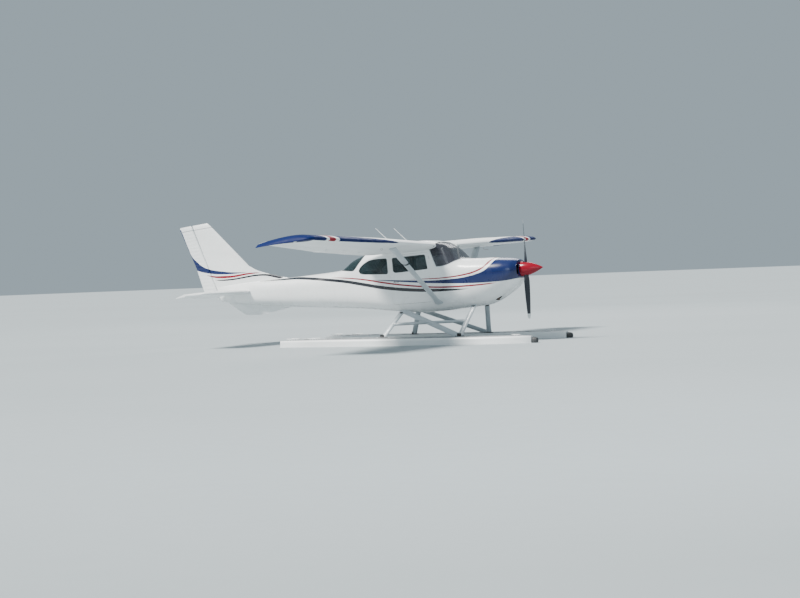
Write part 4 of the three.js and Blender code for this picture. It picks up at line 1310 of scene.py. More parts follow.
# Half thickness of a control surface at its trailing edge, and its beads' full heights
TRAILING = 1.5
WING_BEAD, TAIL_BEAD = 3.2, 2.6
TIP_ROWS = np.array(
    [
        [5280.5, 2136, 3266, 755, 128, 6], [5340, 2158, 3268, 755, 118, 26],
        [5400, 2195, 3262, 752, 92, 52], [5448, 2300, 3250, 738, 44, 56],
        [5460, 2420, 3235, 728, 16, 50]
    ],
    float
)


def foil(x):
    """Upper and lower skin of the wing's section at share x of the chord."""
    x = np.asarray(x, float)
    half = 0.6 * (0.2969 * np.sqrt(x) - 0.126 * x - 0.3516 * x**2 + 0.2843 * x**3 - 0.1015 * x**4)
    camber = np.where(x < 0.4, 0.125 * (0.8 * x - x**2), (0.02 / 0.36) * (0.2 + 0.8 * x - x**2))
    return camber + half, camber - half


def wing_chord(y):
    """Share of the way out along the tapered panel, and the chord there."""
    out = min(max((y - WING["break"]) / (WING["rib"] - WING["break"]), 0), 1)
    return out, WING["root_chord"] + (WING["tip_chord"] - WING["root_chord"]) * out


def on_wing(y, x, height, side):
    """Points of the wing at y, from shares of the chord aft of its nose and above its line."""
    out, chord = wing_chord(y)
    lean = math.radians(2.6 - 2.4 * y / WING["half"])
    x, height = np.asarray(x, float), np.asarray(height, float)
    aft = chord * (x * math.cos(lean) + height * math.sin(lean))
    up = chord * (height * math.cos(lean) - x * math.sin(lean))
    lead, rise = WING["lead"] + 120 * out, WING["height"] + WING["rise"] * y
    return np.column_stack([lead + aft, np.full(aft.shape, side * y), rise + up])


def wing_skin(y, x, side, under=False):
    """The point of the wing's upper or lower skin at share x of the chord."""
    return on_wing(y, x, float(foil(x)[int(under)]), side)[0]


def wing_ring(y, side, end):
    """Section of the wing as far as share end of the chord."""
    x = end * (1 - np.cos(np.linspace(0, math.pi / 2, 24)))
    upper, lower = foil(x)
    top = on_wing(y, x[::-1], upper[::-1], side)
    under = on_wing(y, x[1:], lower[1:], side)
    return np.vstack([top, under])


def bead_height(bead, t, tall):
    """Height of a bead at share t of its length, where bead is its share of the full height."""
    return bead * tall * min(1, 8 * t) * max(min(1, 9 * (0.94 - t)), 0)


def both_skins(radius, bead, tall):
    """Shares of the way to a sharp trailing edge, over the top and back, with half thicknesses."""
    share = np.linspace(0, 1, 11)[1:]
    for sign, order in ((1, share), (-1, share[::-1])):
        for t in order:
            yield t, sign * (radius * (1 - t) + TRAILING * t + bead_height(bead, t, tall))


def control_ring(y, fraction, side, lean, bead):
    """Section of a flap or an aileron, with its skins raised where bead is 1."""
    chord = wing_chord(y)[1]
    top, under = foil(fraction)
    radius = (top - under) / 2 * chord * 0.96
    x = fraction + radius / chord
    centre = on_wing(y, x, sum(foil(x)) / 2, side)[0]
    reach = (0.998 - x) * chord
    aft = np.array([math.cos(lean), 0, math.sin(lean)])
    up = np.array([-math.sin(lean), 0, math.cos(lean)])
    points = [
        centre + radius * (math.cos(a) * aft + math.sin(a) * up)
        for a in np.linspace(-math.pi / 2, -1.5 * math.pi, 11)
    ]
    for t, half in both_skins(radius, bead, WING_BEAD):
        points.append(centre + aft * reach * t + up * half)
    return np.array(points)


def control_lean(y, fraction):
    """Slope of a flap's or an aileron's middle line."""
    top, under = foil(fraction)
    x = fraction + (top - under) / 2 * 0.96
    centre = on_wing(y, x, sum(foil(x)) / 2, 1)[0]
    tail = wing_skin(y, 0.998, 1, True)
    return math.atan2(tail[2] - centre[2], tail[0] - centre[0])


def beads(start, end, pitch):
    """Stations along a beaded skin, and how high the bead is at each."""
    count = max(2, round((end - start) / pitch))
    at = np.linspace(start, end, count * 6 + 1)
    wave = 0.5 - 0.5 * np.cos(2 * math.pi * (at - start) / (end - start) * count)
    height = (np.maximum(wave - 0.3, 0) / 0.7) ** 1.2
    return at, height


class FLOATPLANE_OT_wings(Piece, bpy.types.Operator):
    """Wings, tips, beaded flaps and ailerons"""

    bl_idname = "floatplane.wings"
    bl_label = "Wings"

    def execute(self, context):
        flap_end, aileron_end = WING["flap"] - WING["gap"], WING["aileron"] - WING["gap"]
        rows = [(y, flap_end) for y in np.linspace(WING["root"] - 48, WING["break"] - 6, 10)]
        rows += [(y, aileron_end) for y in np.linspace(WING["break"] + 2, WING["rib"] - 62, 12)]
        rows += [(WING["rib"] - 60, 0.99), (WING["rib"], 0.99)]
        first, last = TIP_ROWS[0, 0], TIP_ROWS[-1, 0]
        ys = first + (last - first) * np.sin(np.linspace(0, math.pi / 2, 12))
        columns = [eased(TIP_ROWS[:, 0], TIP_ROWS[:, k], ys) for k in range(1, 6)]
        x = 1 - np.cos(np.linspace(0, math.pi / 2, 22))
        upper, lower = foil(x)
        back = np.r_[x[::-1], x[1:]]
        profile = np.r_[upper[::-1], lower[1:]] / 0.12
        for name, side in SIDES:
            wing = loft("wing_skin_" + name, [wing_ring(y, side, end) for y, end in rows])
            fitted(shade(wing, 24), "wing", "wing_" + name)
            rings = [
                np.column_stack(
                    [
                        lead + back * (trail - lead), np.full(len(back), side * y),
                        height - droop * back**1.5 + profile * thick
                    ]
                )
                for y, lead, trail, height, thick, droop in zip(ys, *columns, strict=True)
            ]
            tip = shade(loft("wing_cap_" + name, rings), 40)
            fitted(tip, "wing", "wing_tip_" + name, slot="blue_paint")
            for kind, span in (("flap", FLAP_SPAN), ("aileron", AILERON_SPAN)):
                fraction = WING[kind]
                lean = control_lean(sum(span) / 2, fraction)
                rings = [
                    control_ring(y, fraction, side, lean, bead)
                    for y, bead in zip(*beads(*span, sizes().bead_pitch), strict=True)
                ]
                panel = shade(loft(f"{kind}_skin_{name}", rings), 34)
                fitted(panel, "wing", f"{kind}_{name}", body=f"{kind}_{name}")
        return {"FINISHED"}


# Tail

TAIL = {"height": 30.0, "hinge": 7215.0, "tip": 1725.0, "droop": math.radians(12)}
VENTRAL = [(5560, -355), (6346, -479), (6760, -455), (7140, -200), (7140, -140), (5560, -340)]
# The fillet's crest: stations and heights
FILLET = np.array([[5640, 5900, 6430, 6590, 6760], [236, 300, 470, 560, 600]], float)
TAILPLANE = np.array([[90, 6505, 50], [1640, 6690, 34], [1700, 6716, 24], [1725, 6740, 12]], float)
FIN_PROFILE = [0, 0.02, 0.08, 0.2, 0.4, 0.7, 1], [0, 0.36, 0.68, 0.9, 1, 0.9, 0.68]
FIN_ROWS = np.array([[6205, 150, 150, 88], [7492, 1520, 1496, 52], [7545, 1560, 1536, 16]], float)
RUDDER_ROWS = np.array(
    [
        [-20, 24, 7712, -20], [277, 30, 7800, 277], [600, 32, 7888, 600], [1496, 22, 8236, 1477],
        [1536, 8, 8224, 1517]
    ],
    float
)


def drooped(points):
    """Elevator points (aft of the hinge, y, up) turned down and put in place."""
    p = np.asarray(points, float)
    c, d = math.cos(TAIL["droop"]), math.sin(TAIL["droop"])
    aft, up = p[:, 0] * c + p[:, 2] * d, p[:, 2] * c - p[:, 0] * d
    return np.column_stack([TAIL["hinge"] + aft, p[:, 1], TAIL["height"] + up])


def elevator_ring(y, side, bead):
    """Section of the drooped elevator at y, raised where bead is 1."""
    radius = np.interp(y, [105, 1640], [34, 26])
    trail = np.interp(y, [105, 1640], [7600, 7440]) - TAIL["hinge"]
    points = [
        (-radius * math.cos(a), y, radius * math.sin(a))
        for a in np.linspace(-math.pi / 2, math.pi / 2, 11)
    ]
    points += [(trail * t, y, half) for t, half in both_skins(radius, bead, TAIL_BEAD)]
    return drooped([(a, side * b, c) for a, b, c in points])


def rudder_ring(z, bead):
    """Section of the rudder at z, raised where bead is 1."""
    rows = RUDDER_ROWS
    radius, trail, trail_z = (np.interp(z, rows[:, 0], rows[:, k]) for k in (1, 2, 3))
    hinge = hinge_s(z)
    points = [
        (hinge - radius * math.cos(a), radius * math.sin(a), z)
        for a in np.linspace(-math.pi / 2, math.pi / 2, 11)
    ]
    points += [
        (hinge + (trail - hinge) * t, half, z + (trail_z - z) * t)
        for t, half in both_skins(radius, bead, TAIL_BEAD)
    ]
    return np.array(points)


def fin_ring(lead, lead_z, aft_z, thick):
    """Section of the fin, between its slanted front and rear edges."""
    aft = hinge_s(aft_z) - HINGE_GAP
    u = (1 - np.cos(np.linspace(0, math.pi, 18))) / 2
    half = 0.5 * np.interp(u, *FIN_PROFILE)
    u = np.r_[u, u[::-1][:-1]]
    v = np.r_[half, -half[::-1][:-1]]
    return np.column_stack([lead + u * (aft - lead), v * thick, lead_z + u * (aft_z - lead_z)])


def above_cone(piece):
    """Cuts a fin off along the tail cone's skin."""
    return carved(piece, body_block("cutter", 5500, CONE_END, -0.5))


class FLOATPLANE_OT_tail(Piece, bpy.types.Operator):
    """Tailplane, beaded elevator and rudder, fin with its fillet, and the fin below"""

    bl_idname = "floatplane.tail"
    bl_label = "Tail"

    def execute(self, context):
        nose, pitch = TAIL["hinge"] - 62, sizes().bead_pitch
        u = (1 - np.cos(np.linspace(0, math.pi * 0.72, 14))) / (1 - math.cos(math.pi * 0.72))
        half = np.interp(u, [0, 0.02, 0.08, 0.3, 0.6, 1], [0, 0.42, 0.72, 1, 0.98, 0.74])
        around = np.r_[u, u[::-1][:-1]]
        thick = np.r_[half, -half[::-1][:-1]]
        ys = np.r_[np.linspace(30, 1640, 13), np.linspace(1655, 1725, 8)]
        lead, rise = (eased(TAILPLANE[:, 0], TAILPLANE[:, k], ys) for k in (1, 2))
        ys, lead, rise = np.r_[-ys[::-1], ys], np.r_[lead[::-1], lead], np.r_[rise[::-1], rise]
        rings = [
            np.column_stack(
                [a + around * (nose - a), np.full(len(around), y), TAIL["height"] + thick * t]
            )
            for y, a, t in zip(ys, lead, rise, strict=True)
        ]
        fitted(shade(loft("tailplane_skin", rings), 30), "white", "stabilizer")

        halves = []
        corners = [(100, 0), (100, 105), (420, 205), (420, 0)]
        for _, side in SIDES:
            rows = zip(*beads(105, 1640, pitch), strict=True)
            rings = [elevator_ring(y, side, h) for y, h in rows]
            points = [drooped([(a, side * b, z)])[0] for z in (-80, 80) for a, b in corners]
            halves.append(carved(loft("half", rings), shape("cutter", points, ring_faces(2, 4))))
        rod = [drooped([(0, y, 0)])[0] for y in (-120, 120)]
        halves.append(tube("rod", rod, 17.5, 20))
        elevator = shade(joined("elevator_skin", halves), 34)
        fitted(elevator, "white", "elevator", body="elevator")

        shares = np.r_[np.linspace(0, 0.96, 12), np.linspace(0.97, 1, 4)]
        rows = [[np.interp(t, [0, 0.96, 1], FIN_ROWS[:, k]) for k in range(4)] for t in shares]
        fin = loft("fin_skin", [fin_ring(*row) for row in rows])
        dorsal_s = np.linspace(*FILLET[0, (0, -1)], 26)
        top = eased(*FILLET, dorsal_s)
        rings = []
        for s, z in zip(dorsal_s, top, strict=True):
            foot = float(body_top(s)) - 30
            half = 12 - 4 * (s - dorsal_s[0]) / 1120
            angle = np.linspace(0, math.pi, 9)
            crest = [(s, half * math.cos(a), z - half + half * math.sin(a)) for a in angle]
            rings.append([(s, half + 10, foot), *crest, (s, -half - 10, foot)])
        fillet = loft("fillet", rings)
        fins = [shade(above_cone(fin), 30), shade(above_cone(fillet), 40)]
        fitted(joined("fin_and_fillet", fins), "skin", "fin")

        rings = [rudder_ring(z, h) for z, h in zip(*beads(-20, 1496, pitch), strict=True)]
        rings += [rudder_ring(z, 0) for z in (1500, 1512, 1524, 1532, 1536)]
        rudder = shade(loft("rudder_skin", rings), 34)
        fitted(rudder, "skin", "rudder", body="rudder")

        ventral = above_cone(prism(rounded(VENTRAL, 60), -8, 8, "y", "ventral_skin"))
        fitted(shade(bevelled(ventral, 5, 3)), "skin", "ventral_fin")
        return {"FINISHED"}


# Struts


def strut_rings(start, end, rows, count=28, flat=(1.0, 0, 0)):
    """Streamlined sections along a strut; rows are (share, chord, thickness)."""
    start, end = np.asarray(start, float), np.asarray(end, float)
    along = (end - start) / np.linalg.norm(end - start)
    aft = np.asarray(flat, float) - along * np.dot(flat, along)
    aft /= np.linalg.norm(aft)
    across = np.cross(along, aft)
    angle = turns(count)
    u = -np.cos(angle) * 0.5
    back = np.clip(0.5 + u, 0, 1)
    plan = np.sqrt(back) * (1 - back**2) * 1.35
    v = np.sign(np.sin(angle)) * np.maximum(plan, 0.06) * 0.62
    return [
        start + (end - start) * t + np.outer(u * chord, aft) + np.outer(v * thick, across)
        for t, chord, thick in rows
    ]


WING_STRUT = {"foot": (2028, 553, -540), "top": (2232, 2050, 566)}
# Share of the way up, chord and thickness; the narrow black part is painted shadow, a band of
# shade across the strut
WING_STRUT_ROWS = (
    (0, 182, 72), (0.012, 180, 70), (0.045, 150, 62), (0.075, 128, 56), (0.1, 126, 56),
    (0.712, 126, 56), (0.713, 104, 40), (0.733, 104, 40), (0.734, 130, 62), (0.75, 146, 72),
    (0.9, 158, 82), (1, 168, 90)
)


class FLOATPLANE_OT_wing_struts(Piece, bpy.types.Operator):
    """Wing struts with their foot fairing and upper cuff"""

    bl_idname = "floatplane.wing_struts"
    bl_label = "Wing struts"

    def execute(self, context):
        for name, side in SIDES:
            foot = np.array(WING_STRUT["foot"], float) * (1, side, 1)
            top = np.array(WING_STRUT["top"], float) * (1, side, 1)
            strut = loft("wing_strut_skin_" + name, strut_rings(foot, top, WING_STRUT_ROWS))
            for face in shade(strut, 40).data.polygons:
                reach = (abs(aircraft(face.center)[0][1]) - foot[1] * side) / abs(top - foot)[1]
                # The narrow part's faces take the black finish: painted shadow across the strut
                face.material_index = int(0.7125 < reach < 0.7335)
            fitted(strut, ("strut", "black"), "wing_strut_" + name)
        return {"FINISHED"}


# Floats, on level axes: s is the distance aft of the spinner's tip, as for the airframe

BOW = -92.0
FLOAT_CENTRE = 965.0
DECK = 600.0
STEP_PLACE = 3085.0
FLOAT_LENGTH = 5394.0
HULL_FRONT = np.array(
    [
        [0, 425, 468, 590, 66, 64], [60, 350, 418, 594, 112, 104], [180, 255, 355, 598, 172, 158],
        [560, 100, 238, 600, 272, 250], [1150, 18, 176, 600, 342, 315],
        [1850, 0, 160, 600, 360, 332], [3085, 0, 160, 600, 360, 332]
    ],
    float
)
HULL_REAR = np.array(
    [
        [3089, 70, 205, 600, 352, 332], [4135, 150, 275, 600, 300, 286],
        [5000, 240, 340, 596, 215, 208], [5394, 290, 375, 588, 160, 158]
    ],
    float
)


def hull_rings(rows, aft, centre):
    """Sections (keel, chine, side, round deck edge, deck) at distances aft of the bow."""
    rings = []
    columns = [eased(rows[:, 0], rows[:, n], aft) for n in range(1, 6)]
    for a, k, c, d, ch, dh in zip(aft, *columns, strict=True):
        half = [(0, k), (9, k + 0.5), (14, k + 7)]
        for t in (0.25, 0.5, 0.75, 0.93):
            dip = 10 * math.sin(math.pi * t)
            half.append((14 + (ch - 14) * t, k + 7 + (c - k - 7) * t**1.08 - dip * 0.4))
        half += [(ch, c - 5), (ch + 7, c - 10), (ch + 9, c - 4), (ch + 2, c + 6)]
        for t in (0.3, 0.65):
            half.append((ch + (dh - ch) * t + 2, c + 6 + (d - 52 - c - 6) * t))
        half.append((dh, d - 50))
        for angle in np.linspace(0, math.pi / 2, 6):
            inset = min(0.14 * dh, 46)
            half.append((dh - inset * (1 - math.cos(angle)), d - 45 + 45 * math.sin(angle)))
        half += [(dh * 0.8, d), (dh * 0.35, d + 0.01), (0, d + 0.02)]
        left = [(BOW + a, centre + y, z) for y, z in half]
        right = [(BOW + a, centre - y, z) for y, z in half[-2:0:-1]]
        rings.append(np.array(left + right))
    return rings


BUMPER = (
    (0.5, 0.5), (2, 0.78), (12, 0.93), (30, 0.97), (38, 0.92), (44, 0.92), (52, 0.97), (66, 0.94),
    (74, 0.88), (80, 0.88), (90, 0.86), (104, 0.74), (113, 0.58), (118, 0.42)
)


class FLOATPLANE_OT_floats(Piece, bpy.types.Operator):
    """Floats with keel, chines, deck and bow bumpers"""

    bl_idname = "floatplane.floats"
    bl_label = "Floats"

    def execute(self, context):
        front = np.r_[np.linspace(0, 560, 22), np.linspace(600, STEP_PLACE, 26)]
        rear = np.linspace(STEP_PLACE + 4, FLOAT_LENGTH, 26)
        stern = BOW + FLOAT_LENGTH
        c, d = np.cos(turns(40)), np.sin(turns(40))
        for name, side in SIDES:
            centre = side * FLOAT_CENTRE
            rings = hull_rings(HULL_FRONT, front, centre) + hull_rings(HULL_REAR, rear, centre)
            hull = shade(loft("float_hull_" + name, rings, level=True), 24)
            for face in hull.data.polygons:
                y = abs(face.center.y * 1000 - centre)
                if face.normal.z > 0.96 and face.center.z > 0.58 and y < 300:
                    face.material_index = 1
            lug = box("lug", (stern - 3, stern + 78), (centre - 26, centre + 26), (486, 498), True)
            parts = [coated(hull, "hull", "deck"), coated(shade(bevelled(lug, 3)), "steel")]
            whole = joined("float_body_" + name, parts)
            fitted(whole, ("hull", "deck", "steel"), "float_" + name, slot="float_paint")
            rings = []
            for ahead, size in BUMPER:
                y = centre + 66 * size * np.sign(c) * np.abs(c) ** 0.8
                z = 505 + 69 * size * np.sign(d) * np.abs(d) ** 0.8
                rings.append(np.column_stack([np.full(40, BOW - ahead), y, z]))
            bumper = shade(loft("bow_bumper_rubber_" + name, rings, level=True), 50)
            fitted(bumper, "rubber", "bow_bumper_" + name, slot="bumper_rubber")
        return {"FINISHED"}


FEET = {"front": 1505.0, "rear": 3172.0}
FOOT_Y = 740.0
HEADS = {"front": (1384, 331, -640), "rear": (2934, 401, -660), "brace": (2846, 401, -655)}


def levelled(point, side):
    """A point on the aircraft's axes as one on the level axes."""
    s, y, z = point
    c, d = math.cos(PITCH), math.sin(PITCH)
    return np.array([s * c + z * d, side * y, SHAFT_HEIGHT - s * d + z * c])


def foot_fittings(foot):
    """Plate, ears, pin and bolts that hold a leg's foot on the deck."""
    s, y, _ = foot
    plate = box("plate", (s - 92, s + 92), (y - 40, y + 40), (DECK - 1, DECK + 7), True)
    parts = [bevelled(plate, 3)]
    for middle in (y - 30, y + 30):
        ear = ((s - 46, s + 46), (middle - 4, middle + 4), (DECK + 5, DECK + 62))
        parts.append(bevelled(box("ear", *ear, True), 3))
    parts.append(tube("pin", [(s, y + t, DECK + 38) for t in (-44, 44)], 10, 12, True))
    for along in (-74, 74):
        for across in (-24, 24):
            place = (s + along, y + across, DECK + 6)
            parts.append(upright("bolt", [(0, 9), (7, 9), (9, 7)], place, 6))
    return parts


class FLOATPLANE_OT_float_gear(Piece, bpy.types.Operator):
    """Legs, braces, spreader bars, boarding step and the fittings at their ends"""

    bl_idname = "floatplane.float_gear"
    bl_label = "Float struts"

    def execute(self, context):
        for name, side in SIDES:
            feet = {k: np.array([s, side * FOOT_Y, DECK + 2.0]) for k, s in FEET.items()}
            heads = {k: levelled(place, side) for k, place in HEADS.items()}
            for kind, foot, head, chord, node_name in (
                ("front_leg", "front", "front", 106, "float_strut_front_"),
                ("rear_leg", "rear", "rear", 106, "float_strut_rear_"),
                ("brace", "front", "brace", 114, "float_brace_"),
            ):
                rows = [(t, chord, 46) for t in (0.0, 0.03, 0.5, 0.97, 1.04)]
                leg = strut_rings(feet[foot], heads[head], rows)
                piece = loft(f"{kind}_{name}", leg, level=True)
                if kind == "brace" and side < 0:
                    ends = [
                        feet[k] + (heads[k] - feet[k]) * share
                        for k, share in (("rear", 0.52), ("front", 0.507))
                    ]
                    piece = joined(piece.name, [piece, tube("step", ends, 30, 20, True)])
                fitted(shade(piece, 40), "strut", node_name + name)
            fittings = foot_fittings(feet["front"]) + foot_fittings(feet["rear"])
            cuff = [(0, 34), (10, 40), (34, 44), (40, 30)]
            for key in FEET:
                fittings.append(upright("cuff", cuff, heads[key] - np.array([0, 0, 34]), 24))
            whole = shade(joined("strut_fittings_" + name, fittings), 40)
            fitted(whole, "black", slot="black_paint")
        reach = FLOAT_CENTRE - 352
        rows = [(t, 92, 58) for t in (0, 0.5, 1)]
        for key, s in FEET.items():
            ends = [(s, y, DECK - 110) for y in (-reach, reach)]
            spreader = loft("spreader_bar_" + key, strut_rings(*ends, rows), level=True)
            fitted(shade(spreader, 40), "strut", "spreader_" + key)
        return {"FINISHED"}


# Outline of a water rudder: aft of its axis, and height
WATER_RUDDER = [(-10, 160), (40, 120), (150, 130), (190, 210), (150, 420), (-10, 420)]


class FLOATPLANE_OT_water_rudders(Piece, bpy.types.Operator):
    """Water rudders with their posts, horns and ribs"""

    bl_idname = "floatplane.water_rudders"
    bl_label = "Water rudders"

    def execute(self, context):
        axis = BOW + FLOAT_LENGTH + 50
        outline = rounded([(axis + s, z) for s, z in WATER_RUDDER], 36)
        for name, side in SIDES:
            y = side * FLOAT_CENTRE
            blade = bevelled(prism(outline, y - 5, y + 5, "y", "plate", True), 3)
            ribs = [
                tube("rib", [(axis + 10, y + t, z), (axis + 150, y + t, z)], 4, 8, True)
                for z in (200, 280, 360)
                for t in (-5, 5)
            ]
            post = [(0, 10), (2, 13), (340, 13), (344, 11)]
            post = upright("post", post, (axis, y, 134), 24)
            horn = box("horn", (axis - 14, axis + 14), (y - 62, y + 62), (462, 470), True)
            parts = [blade, *ribs, post, bevelled(horn, 2)]
            whole = shade(joined("water_rudder_blade_" + name, parts))
            fitted(whole, "hull", "water_rudder_" + name, body="water_rudder_" + name)
        return {"FINISHED"}


# Inside the cabin

SEAT = {"front": 2420, "back": 2920, "height": -130, "depth": 130, "top": 330, "lean": 130}
REAR_SEAT = {"front": 3270, "back": 3760}
SEAT_Y = 235
PANEL_FACE = 1794.0
PAD_STEPS = 20


def pad_start(name, middle, half, lean):
    """A crowned pad: its middle, half sizes (deep, wide, thick), and the turn of its plane."""
    columns, rows = 56, 40
    across = turns(columns)
    rings = []
    for b in np.linspace(-math.pi / 2, math.pi / 2, rows):
        c, d = math.cos(b), math.sin(b)
        plan = abs(c) ** 0.32
        u = half[0] * plan * np.sign(np.cos(across)) * np.abs(np.cos(across)) ** 0.36
        v = half[1] * plan * np.sign(np.sin(across)) * np.abs(np.sin(across)) ** 0.36
        w = np.full(columns, half[2] * np.sign(d) * abs(d) ** 0.55)
        w = w * (1 - 0.16 * (np.abs(u) / half[0]) ** 3 * (np.abs(v) / half[1]) ** 3)
        a, e = math.cos(lean), math.sin(lean)
        s = middle[0] + u * a - w * e
        z = middle[2] + u * e + w * a
        rings.append(np.column_stack([s, middle[1] + v, z]))
    return loft(name, rings)


def filled(piece, middle, lean, channels):
    """Remeshes a pad and fills it like a cushion, held down along its sewn channels."""
    mesh = piece.modifiers.new("cells", "REMESH")
    mesh.mode = "VOXEL"
    mesh.voxel_size = sizes().seat_voxel
    settled(piece)
    start = np.array([v.co for v in piece.data.vertices])
    own = aircraft(start) - np.asarray(middle, float)
    a, e = math.cos(lean), math.sin(lean)
    along = own[:, 0] * a + own[:, 2] * e
    held = np.zeros(len(start), bool)
    for place in channels:
        held |= np.abs(along - place) < 1000 * sizes().seat_voxel * 0.6
    group = piece.vertex_groups.new(name="sewn")
    group.add([int(i) for i in np.flatnonzero(held)], 1.0, "REPLACE")
    cloth = piece.modifiers.new("cloth", "CLOTH")
    cloth.settings.use_pressure = True
    cloth.settings.uniform_pressure_force = 4
    cloth.settings.effector_weights.gravity = 0
    cloth.settings.vertex_group_mass = "sewn"
    cloth.point_cache.frame_end = PAD_STEPS
    for step in range(1, PAD_STEPS + 1):
        bpy.context.scene.frame_set(step)
    settled(piece)
    bpy.context.scene.frame_set(1)
    end = np.array([v.co for v in piece.data.vertices])
    move = end - start
    length = np.linalg.norm(move, axis=1)[:, None]
    move *= np.minimum(1, sizes().cap / np.maximum(length, 1e-9))
    piece.data.vertices.foreach_set("co", (start + move).ravel())
    piece.vertex_groups.clear()
    smooth = piece.modifiers.new("smooth", "SUBSURF")
    smooth.levels = smooth.render_levels = 1
    settled(piece)
    return shade(piece, 80)


def seat(name, node_name, pads):
    """Filled pads as one seat; each is (middle, half sizes, lean, channels)."""
    parts = [
        filled(pad_start("pad", middle, half, lean), middle, lean, channels)
        for middle, half, lean, channels in pads
    ]
    whole = joined(name, parts)
    fitted(whole, "seat", node_name, slot="seat_cloth")


def dial(y, z, radius, angle):
    """A round instrument with its bezel, face and hand."""
    place, front, length = (PANEL_FACE - 2, y, z), PANEL_FACE + 2.5, radius - 12
    rim = [
        (0, radius - 7), (0, radius), (7, radius), (9, radius - 3), (7, radius - 6),
        (2, radius - 7)
    ]
    tip = (front, y + length * math.sin(angle), z + length * math.cos(angle))
    return [
        coated(turned("bezel", rim, place, AFT, 28), "black"),
        coated(turned("dial", [(0, radius - 6), (3, radius - 6)], place, AFT, 28), "dial"),
        coated(tube("hand", [(front, y, z), tip], [1.6, 0.8], 6), "mark")
    ]


class FLOATPLANE_OT_interior(Piece, bpy.types.Operator):
    """Seats, instruments, glare shield and the brace tubes behind the windshield"""

    bl_idname = "floatplane.interior"
    bl_label = "Cabin fittings"

    def execute(self, context):
        lean = math.atan2(SEAT["top"] - SEAT["height"], SEAT["lean"])
        base = (SEAT["front"] + SEAT["back"]) / 2
        base_z = SEAT["height"] - SEAT["depth"] / 2 + 6
        rest_z = (SEAT["top"] + SEAT["height"]) / 2 + 8
        for name, side in SIDES:
            y = side * SEAT_Y
            rest = (SEAT["back"] + SEAT["lean"] / 2 - 12, y, rest_z)
            pads = [
                ((base, y, base_z), (228, 198, 48), 0.03, (-60, 60)),
                (rest, (212, 192, 38), lean, (-90, 0, 90))
            ]
            seat("front_seat_" + name, "seat_front_" + name, pads)
        middle = (REAR_SEAT["front"] + REAR_SEAT["back"]) / 2
        pads = [
            ((middle - 40, 0, base_z), (205, 372, 48), 0.03, (-60, 60)),
            ((REAR_SEAT["back"] - 20, 0, 90), (196, 368, 36), lean, (-80, 20))
        ]
        seat("rear_seat", "seat_rear", pads)
        parts = []
        for row, (z, count, pitch, radius) in enumerate(
            ((150, 7, 110, 38), (60, 7, 110, 38), (-30, 9, 92, 26))
        ):
            for k in range(count):
                parts += dial((k - (count - 1) / 2) * pitch, z, radius, 0.7 * k + row)
        radio = bevelled(box("radio", (1788, 1800), (-72, 72), (-85, -80)), 1)
        parts.append(coated(radio, "black"))
        instruments = joined("panel_instruments", parts)
        shade(instruments, 40)
        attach(instruments, "airframe")
        shield = bevelled(box("glare_shield", (1640, 1830), (-455, 455), (226, 238)), 5, 3)
        fitted(shade(shield), "plastic", slot="cabin_plastic")
        braces = []
        for side in (1, -1):
            path = [(1885, side * 325, 236), (1955, side * 398, 548)]
            braces.append(tube("brace", path, 21, 20))
            braces.append(turned("collar", [(0, 30), (8, 34), (16, 30)], path[0], UP, 24))
        fitted(shade(joined("windshield_braces", braces), 40), "white")
        return {"FINISHED"}


# Small fittings


def capsule(radius, length, rounded_end=0.6):
    """Profile of a round-nosed fitting, from its foot."""
    start = length - radius * rounded_end
    return [(0, radius)] + [
        (start + radius * rounded_end * math.sin(t), max(radius * math.cos(t), 0.3))
        for t in np.linspace(0, math.pi / 2, 6)
    ]


HINGE_PLACES = (900, 1700, 2450, 3000, 3900, 4900)


